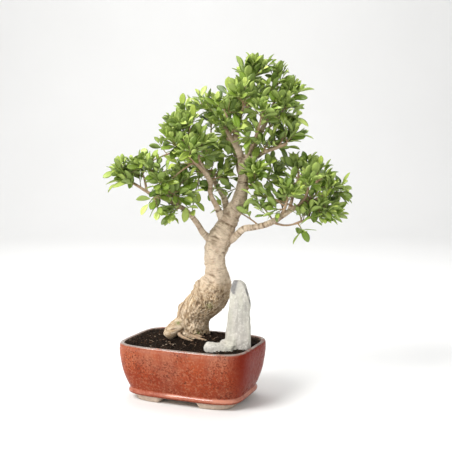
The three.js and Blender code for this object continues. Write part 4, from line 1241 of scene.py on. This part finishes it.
def grow_leaf(at, ahead, angle, age, draw):
    """A leaf: where it sits, where it points, its face, its length and width, and its age in leaves."""
    opening = math.radians(20 if age == 0 else draw.between(30, 62))
    direction = ahead * math.cos(opening) + radial(ahead, angle) * math.sin(opening)
    direction = unit(direction + UP * (0.35 if age == 0 else 0.42 - 0.06 * age))
    _, over = crossways(direction)
    turn = draw.between(-1, 1)
    normal = over * math.cos(turn) + np.cross(direction, over) * math.sin(turn)
    length = (24 if age == 0 else 29) + draw.between(-3, 5)
    width = length * draw.between(0.44, 0.55)
    return at, direction, normal, length, width, age


def bezier(base, bend, tip, t):
    t = np.asarray(t, float)[..., None]
    return base * (1 - t) ** 2 + bend * 2 * t * (1 - t) + tip * t**2


def slope(base, bend, tip, t):
    return unit(2 * (1 - t) * (bend - base) + 2 * t * (tip - bend))


def grow_spray(base, tip, seed, side_shoots, places):
    """A main shoot that arches from the wood to its tip, with leaves a golden turn apart, and short side
    shoots that carry more leaves. Returns the leaves and the shoots' lines."""
    draw = Draw(seed)
    reach = np.linalg.norm(tip - base)
    bend = (base + tip) / 2 + UP * 0.12 * reach
    start = draw.between(0, 6.28)
    leaves = []
    for k, t in enumerate(places):
        ahead = slope(base, bend, tip, t)
        at = bezier(base, bend, tip, t)
        leaves.append(grow_leaf(at, ahead, start + k * GOLDEN_TURN, len(places) - 1 - k, draw))
    shoots = [(bezier(base, bend, tip, np.linspace(0, 1, 12)), 1.6, 0.8)]
    for i in range(side_shoots):
        t = 0.22 + 0.68 * i / max(1, side_shoots - 1)
        start_point, ahead = bezier(base, bend, tip, t), slope(base, bend, tip, t)
        out = unit(ahead * 0.6 + radial(ahead, start + 1.3 + i * GOLDEN_TURN) * 0.9 + UP * 0.35)
        length = draw.between(13, 25) * (1.15 - 0.4 * t)
        along = np.linspace(0, 1, 6)[:, None]
        line = start_point + out * length * along + UP * 2.5 * along**2
        shoots.append((line, 0.9, 0.6))
        for k, share in enumerate(SIDE_PLACES):
            at = start_point + (line[-1] - start_point) * share
            leaf = grow_leaf(at, out, start + i + 2 + k * GOLDEN_TURN, 3 - k, draw)
            size = draw.between(0.6, 0.96)
            leaves.append((*leaf[:3], leaf[3] * size, leaf[4] * size, leaf[5]))
    return leaves, shoots


def grid_quads(grid):
    """The four-sided faces between the numbered points of a grid."""
    return np.stack([grid[:-1, :-1], grid[1:, :-1], grid[1:, 1:], grid[:-1, 1:]], -1).reshape(-1, 4)


def leaves_mesh(name, leaves, seed):
    """Blades as thin closed lenses. Along u, from stalk to tip, the half width is u^0.95 (1-u)^0.72, scaled.
    Across v the blade is folded up along its rib. It sags by the square of the distance from the stalk."""
    rng = np.random.default_rng(seed)
    at, direction, normal = (np.array([leaf[k] for leaf in leaves]) for k in range(3))
    length, width, age = (np.array([leaf[k] for leaf in leaves], float) for k in range(3, 6))
    count = len(leaves)
    young = np.clip(1 - age / 2.2, 0, 1)
    length = length * np.where(age == 0, rng.uniform(0.62, 0.95, count), 1.0)
    width = width * (0.95 - 0.12 * young)
    side = np.cross(normal, direction)
    u = np.array([-0.02, 0.11, 0.2, 0.34, 0.5, 0.66, 0.81, 0.93, 1.0])
    v = np.array([-1.0, -0.5, 0.0, 0.5, 1.0])
    blade = np.clip((u - 0.12) / 0.88, 0, 1)
    half = blade**0.95 * (1 - blade) ** 0.72
    half = half / half.max()
    x = length[:, None, None] * u[None, :, None] + 0 * v
    stalk = 0.45 * (1 - 0.5 * (u > 0.9)[None, :, None])
    y = v * np.maximum(half[None, :, None] * width[:, None, None] / 2, stalk)
    fold = rng.uniform(0.1, 0.34, count)[:, None, None] + 0.3 * young[:, None, None]
    sag = rng.uniform(-0.04, 0.2, count)[:, None, None]
    swing = rng.uniform(-0.5, 0.5, (count, 1, 1))
    wave = swing * np.sin(9 * u[None, :, None] + rng.uniform(0, 6, (count, 1, 1)))
    rise = fold * np.abs(y) - sag * x**2 / length[:, None, None] + wave * v**2 * half[None, :, None]
    thick = 0.34 * (1 - v**2) + 0 * x
    flat = at[:, None, None] + direction[:, None, None] * x[..., None] + side[:, None, None] * y[..., None]
    top = flat + normal[:, None, None] * (rise + thick)[..., None]
    top = top.reshape(count, -1, 3)
    below = flat + normal[:, None, None] * (rise - thick)[..., None]
    below = below[:, :, 1:-1].reshape(count, -1, 3)
    rows, columns = len(u), len(v)
    per = rows * columns + rows * (columns - 2)
    upper = np.arange(rows * columns).reshape(rows, columns)
    lower = upper.copy()
    lower[:, 1:-1] = rows * columns + np.arange(rows * (columns - 2)).reshape(rows, columns - 2)
    caps = np.array([[*upper[row], *lower[row, 1:-1][::-1]] for row in (0, -1)])
    caps[0] = caps[0][::-1]
    shift = per * np.arange(count)[:, None, None]
    top_faces = (grid_quads(upper)[None] + shift).reshape(-1, 4)
    low_faces = (grid_quads(lower)[None, :, ::-1] + shift).reshape(-1, 4)
    cap_faces = (caps[None] + shift).reshape(-1, caps.shape[1])
    points = np.concatenate([top, below], 1).reshape(-1, 3)
    uv_top = np.stack(np.broadcast_arrays(blade[:, None], 0.5 + 0.5 * v * half[:, None].clip(0.05)), -1)
    uv_one = np.vstack([uv_top.reshape(-1, 2), uv_top[:, 1:-1].reshape(-1, 2)])
    uv = np.tile(uv_one, (count, 1))
    ages = np.clip(age / 2.6, 0, 1) * rng.uniform(0.75, 1.0, count)
    values = {"age": np.repeat(ages, per), "tone": np.repeat(rng.uniform(0, 1, count), per)}
    mesh = new_mesh(name, points, [top_faces, low_faces, cap_faces], values, uv)
    kinds = np.zeros(len(mesh.polygons), np.int32)
    kinds[len(top_faces) : len(top_faces) + len(low_faces)] = 1
    mesh.polygons.foreach_set("material_index", kinds)
    return mesh


# Settings, one operator for each piece, and the panel
def colour_property(name, description, default):
    return FloatVectorProperty(
        name=name, description=description, default=default, subtype="COLOR", size=3, min=0.0, max=1.0
    )


class BonsaiSizes(PropertyGroup):
    pot_sides: IntProperty(name="Pot sides", description="Points round the pot's plan", default=240, min=32)
    side_shoots: IntProperty(
        name="Side shoots", description="Side shoots on each leafy spray", default=5, min=0, max=8
    )
    crumbs: IntProperty(
        name="Soil bits", description="Loose bits of peat and bark on the soil", default=5200, min=0
    )
    camera_distance: FloatProperty(
        name="Camera distance",
        description="From the pot's middle to the camera along the floor",
        default=1.4613,
        unit="LENGTH",
    )
    camera_height: FloatProperty(
        name="Camera height", description="Height of the camera above the floor", default=0.457, unit="LENGTH"
    )


class BonsaiColours(PropertyGroup):
    glaze: colour_property("Glaze", "Copper red of the glaze", (0.35, 0.068, 0.024))
    glaze_deep: colour_property("Deep glaze", "Darker red where the glaze is thick", (0.235, 0.034, 0.013))
    glaze_fleck: colour_property("Glaze flecks", "Light pink flecks in the glaze", (0.47, 0.19, 0.105))
    glaze_rim: colour_property("Rim", "Greyish glaze on the rim", (0.27, 0.215, 0.19))
    clay: colour_property("Clay", "Bare clay of the feet", (0.60, 0.475, 0.38))
    clay_dark: colour_property("Dark clay", "Stained clay of the feet", (0.44, 0.335, 0.255))
    soil: colour_property("Soil", "Dark peat", (0.024, 0.014, 0.008))
    soil_dark: colour_property("Wet soil", "Darkest peat", (0.006, 0.004, 0.003))
    soil_fibre: colour_property("Bark bits", "Red-brown bits in the soil", (0.085, 0.042, 0.024))
    bark: colour_property("Bark", "Light bark of the trunk", (0.79, 0.65, 0.49))
    bark_grey: colour_property("Grey bark", "Greyer patches of the bark", (0.56, 0.44, 0.32))
    bark_dark: colour_property("Bark hollows", "Dark wrinkles of the bark", (0.19, 0.12, 0.065))
    twig: colour_property("Twigs", "Red-brown of the youngest wood", (0.40, 0.235, 0.14))
    stone: colour_property("Stone", "Pale grey of the stone", (0.64, 0.60, 0.54))
    stone_dark: colour_property("Dark stone", "Darker streaks of the stone", (0.47, 0.45, 0.405))
    stone_green: colour_property("Stone growth", "Greenish tint of the stone", (0.54, 0.53, 0.44))
    leaf_old: colour_property("Old leaves", "Darkest leaf green", (0.028, 0.072, 0.007))
    leaf_mid: colour_property("Leaves", "Middle leaf green", (0.205, 0.33, 0.028))
    leaf_young: colour_property("Young leaves", "Light leaf green", (0.50, 0.63, 0.095))
    leaf_tip: colour_property("Newest leaves", "Yellow-green of the newest leaves", (0.66, 0.76, 0.22))
    leaf_under: colour_property("Leaf undersides", "Pale green below", (0.36, 0.47, 0.15))
    leaf_rib: colour_property("Leaf ribs", "Rib and stalk", (0.46, 0.54, 0.2))
    floor: colour_property("Floor", "Pale floor and backdrop", (0.80, 0.80, 0.795))


class BonsaiOperator:
    bl_options = {"REGISTER", "UNDO"}


class BONSAI_OT_pot(BonsaiOperator, Operator):
    """Throws the pot: a mottled glazed wall with a rolled rim and base moulding, and four bare clay feet"""

    bl_idname = "bonsai.pot"
    bl_label = "Pot"

    def execute(self, context):
        colours = context.scene.bonsai_colours
        points, quads, tris = pot_shape(context.scene.bonsai_sizes.pot_sides)
        clay = clay_finish(colours)
        mesh = new_mesh("pot_body", points, [quads, tris])
        mesh.polygons.foreach_set("material_index", inside_faces(mesh))
        walls = [glaze_finish(colours), inner_wall_finish(colours)]
        body = place_piece("pot_body", mesh, walls, "glaze", "pot")
        cut_drains(body)
        feet = gather([foot_shape(x, y) for x in (1, -1) for y in (1, -1)])
        place_piece("pot_feet", new_mesh("pot_feet", feet[0], feet[1:]), [clay], "glaze", "pot")
        return {"FINISHED"}


class BONSAI_OT_soil(BonsaiOperator, Operator):
    """Fills the pot with lumpy dark peat, loose bits and fine root threads, over two drain screens"""

    bl_idname = "bonsai.soil"
    bl_label = "Soil"

    def execute(self, context):
        colours = context.scene.bonsai_colours
        points, quads, tris = soil_shape()
        bed = new_mesh("soil_bed", points, [quads, tris])
        place_piece("soil_bed", bed, [soil_finish(colours)], "soil", "soil")
        points, faces, tone = crumbs_shape(context.scene.bonsai_sizes.crumbs)
        bits = new_mesh("soil_bits", points, [faces], {"tone": tone}, smooth=False)
        place_piece("soil_bits", bits, [crumb_finish(colours)], "soil", "soil")
        points, quads, tris = threads_shape()
        threads = new_mesh("root_threads", points, [quads, tris])
        place_piece("root_threads", threads, [thread_finish()], "bark", "soil")
        plastic = screen_finish()
        for name in ("drain_screen_left", "drain_screen_right"):
            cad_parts[name].data.materials.clear()
            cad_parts[name].data.materials.append(plastic)
        return {"FINISHED"}


class BONSAI_OT_wood(BonsaiOperator, Operator):
    """Grows the trunk, its limbs and surface roots in wrinkled bark, and the thin twigs"""

    bl_idname = "bonsai.wood"
    bl_label = "Trunk and limbs"

    def execute(self, context):
        bark = bark_finish(context.scene.bonsai_colours)
        wood_piece(bark)
        points, quads, tris = twigs_shape()
        wood, radius = wood_values(points)
        straight = np.column_stack([unit(wood[:, :2]) * radius[:, None], wood[:, 2]])
        nothing = np.zeros(len(points))
        values = {
            "bark_place": straight,
            "strand_place": straight,
            "painted_groove_shade": nothing,
            "shaded": nothing,
            "low_bark": nothing,
            "ridge": nothing,
            "young": smoothstep(6.5, 2.2, radius) * 0.8,
            "moss": nothing,
        }
        place_piece("twigs", new_mesh("twigs", points, [quads, tris], values), [bark], "bark", "trunk")
        return {"FINISHED"}


class BONSAI_OT_stone(BonsaiOperator, Operator):
    """Sets the chipped grey stone beside the trunk"""

    bl_idname = "bonsai.stone"
    bl_label = "Stone"

    def execute(self, context):
        stone_piece(stone_finish(context.scene.bonsai_colours))
        return {"FINISHED"}


class BONSAI_OT_foliage(BonsaiOperator, Operator):
    """Covers the crown with leafy sprays: green shoots and folded glossy leaves"""

    bl_idname = "bonsai.foliage"
    bl_label = "Foliage"

    def execute(self, context):
        colours = context.scene.bonsai_colours
        upper = leaf_finish("leaf_upper", colours, under=False)
        lower = leaf_finish("leaf_lower", colours, under=True)
        green = shoot_finish(colours)
        tips, inner = from_front(SPRAY_TIPS), from_front(INNER_TIPS)
        bases = spray_bases(np.vstack([tips, inner]))
        shoots = context.scene.bonsai_sizes.side_shoots
        grown, fill = [], []
        for i, (base, tip) in enumerate(zip(bases, tips)):
            hanging = i in HANGING_SPRAYS
            places = INNER_PLACES if hanging else LEAF_PLACES
            grown.append(grow_spray(base, tip, i + 1, 0 if hanging else shoots, places))
        for i, (base, tip) in enumerate(zip(bases[len(tips) :], inner)):
            fill.append(grow_spray(base, tip, i + 201, shoots // 3, INNER_PLACES))
        nearest = np.linalg.norm(inner[:, None] - tips[None], axis=2).argmin(1)
        for region, (first, last) in REGIONS.items():
            inside = np.flatnonzero((nearest >= first) & (nearest < last))
            some = grown[first:last] + [fill[i] for i in inside]
            nodes = SPRAY_NODES[first:last]
            leaves = [leaf for spray, _ in some for leaf in spray]
            mesh = leaves_mesh(region + "_leaves", leaves, 70 + first)
            place_piece(region + "_leaves", mesh, [upper, lower], "leaf", *nodes)
            parts, ages = [], []
            for _, stems in some:
                for line, thick, thin in stems:
                    radius = np.linspace(thick, thin, len(line))
                    parts.append(tube(line, np.repeat(radius[:, None], 7, 1)))
                    along = np.repeat(np.linspace(1, 0, len(line)), 7)
                    ages.append(np.concatenate([along, [1.0, 0.0]]))
            points, quads, tris = gather(parts)
            mesh = new_mesh(region + "_shoots", points, [quads, tris], {"age": np.concatenate(ages)})
            place_piece(region + "_shoots", mesh, [green], "leaf", *nodes)
        return {"FINISHED"}


def front(x, y, z):
    """The place in the scene for metres from the pot's middle in the front view."""
    return POT_CENTRE + from_front([x, y, z])


def add_light(name, place, target, size, power, colour=(1, 1, 1)):
    """A round soft light at a place, turned towards its target."""
    light = bpy.data.lights.new(name, "AREA")
    light.shape = "DISK"
    light.size = size
    light.energy = power
    light.color = colour
    lamp = bpy.data.objects.new(name, light)
    bpy.context.scene.collection.objects.link(lamp)
    place, target = np.array(place, float), np.array(target, float)
    ahead = unit(target - place)
    lamp.location = place
    lamp.rotation_euler = (math.acos(-ahead[2]), 0, math.atan2(-ahead[0], ahead[1]))


FLOOR_DROP = 0.0002  # metres from the feet down to the floor
CAMERA_LENS = 63.7
CAMERA_SENSOR = 36.0
CAMERA_TILT = 0.097  # radians below the level
CAMERA_ASIDE = 0.061


class BONSAI_OT_stage(BonsaiOperator, Operator):
    """Lays the pale floor and backdrop, and sets the soft lights and the camera"""

    bl_idname = "bonsai.stage"
    bl_label = "Stage"

    def execute(self, context):
        sizes, colours = context.scene.bonsai_sizes, context.scene.bonsai_colours
        turn = np.linspace(0, np.pi / 2, 16)
        radius = 1.2
        profile = np.concatenate([
            [[-9.0, 0.0]],
            np.stack([2.6 + radius * np.sin(turn), radius - radius * np.cos(turn)], -1),
            [[2.6 + radius, 7.0]],
        ])
        across = np.linspace(-9, 9, 13)
        flat = np.stack(np.broadcast_arrays(across[None], profile[:, :1], profile[:, 1:]), -1).reshape(-1, 3)
        points = from_front(flat) + [0, 0, -FOOT_DEPTH / 1000 - FLOOR_DROP]
        grid = np.arange(len(points)).reshape(len(profile), len(across))
        faces = np.stack([grid[:-1, :-1], grid[:-1, 1:], grid[1:, 1:], grid[1:, :-1]], -1).reshape(-1, 4)
        mesh = bpy.data.meshes.new("floor")
        mesh.from_pydata((points + POT_CENTRE).tolist(), [], faces.tolist())
        mesh.materials.append(floor_finish(colours))
        floor = bpy.data.objects.new("floor", mesh)
        context.scene.collection.objects.link(floor)
        mesh.polygons.foreach_set("use_smooth", np.full(len(mesh.polygons), True))
        middle = front(0.05, 0.0, 0.32)
        add_light("window", front(-1.7, -1.3, 2.3), middle, 1.5, 104, (1.0, 0.99, 0.97))
        add_light("fill", front(2.1, -1.6, 1.3), middle, 1.6, 9, (0.97, 0.98, 1.0))
        add_light("top", front(0.1, 0.5, 2.6), middle, 1.8, 32)
        add_light("backdrop_wash", front(0.0, 1.6, 2.9), front(0.0, 3.8, 0.9), 2.4, 25)
        world = bpy.data.worlds.new("studio")
        world.use_nodes = True
        world.node_tree.nodes["Background"].inputs["Color"].default_value = (1.0, 1.0, 1.0, 1.0)
        world.node_tree.nodes["Background"].inputs["Strength"].default_value = 0.54
        context.scene.world = world
        camera = bpy.data.objects.new("camera", bpy.data.cameras.new("camera"))
        camera.data.lens = CAMERA_LENS
        camera.data.sensor_width = CAMERA_SENSOR
        camera.data.clip_end = 50
        back = math.sqrt(sizes.camera_distance**2 - CAMERA_ASIDE**2)
        camera.location = front(CAMERA_ASIDE, -back, sizes.camera_height)
        camera.rotation_euler = (math.pi / 2 - CAMERA_TILT, 0, FRONT_TURN)
        context.scene.collection.objects.link(camera)
        context.scene.camera = camera
        context.scene.view_settings.view_transform = "Standard"
        return {"FINISHED"}


class BONSAI_PT_panel(Panel):
    bl_idname = "BONSAI_PT_panel"
    bl_label = "Banyan Bonsai"
    bl_space_type = "VIEW_3D"
    bl_region_type = "UI"
    bl_category = "Bonsai"

    def draw(self, context):
        layout = self.layout
        for operator in OPERATORS:
            layout.operator(operator.bl_idname)
        for group in (context.scene.bonsai_sizes, context.scene.bonsai_colours):
            for name in group.__annotations__:
                layout.prop(group, name)


OPERATORS = (
    BONSAI_OT_pot,
    BONSAI_OT_soil,
    BONSAI_OT_wood,
    BONSAI_OT_stone,
    BONSAI_OT_foliage,
    BONSAI_OT_stage,
)
CLASSES = (BonsaiSizes, BonsaiColours, *OPERATORS, BONSAI_PT_panel)


def register():
    for cls in CLASSES:
        bpy.utils.register_class(cls)
    bpy.types.Scene.bonsai_sizes = PointerProperty(type=BonsaiSizes)
    bpy.types.Scene.bonsai_colours = PointerProperty(type=BonsaiColours)


def unregister():
    del bpy.types.Scene.bonsai_colours
    del bpy.types.Scene.bonsai_sizes
    for cls in reversed(CLASSES):
        bpy.utils.unregister_class(cls)


def main():
    register()
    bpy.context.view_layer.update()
    bpy.ops.bonsai.stage()
    bpy.ops.bonsai.pot()
    bpy.ops.bonsai.soil()
    bpy.ops.bonsai.wood()
    bpy.ops.bonsai.stone()
    bpy.ops.bonsai.foliage()


if __name__ == "__main__":
    main()
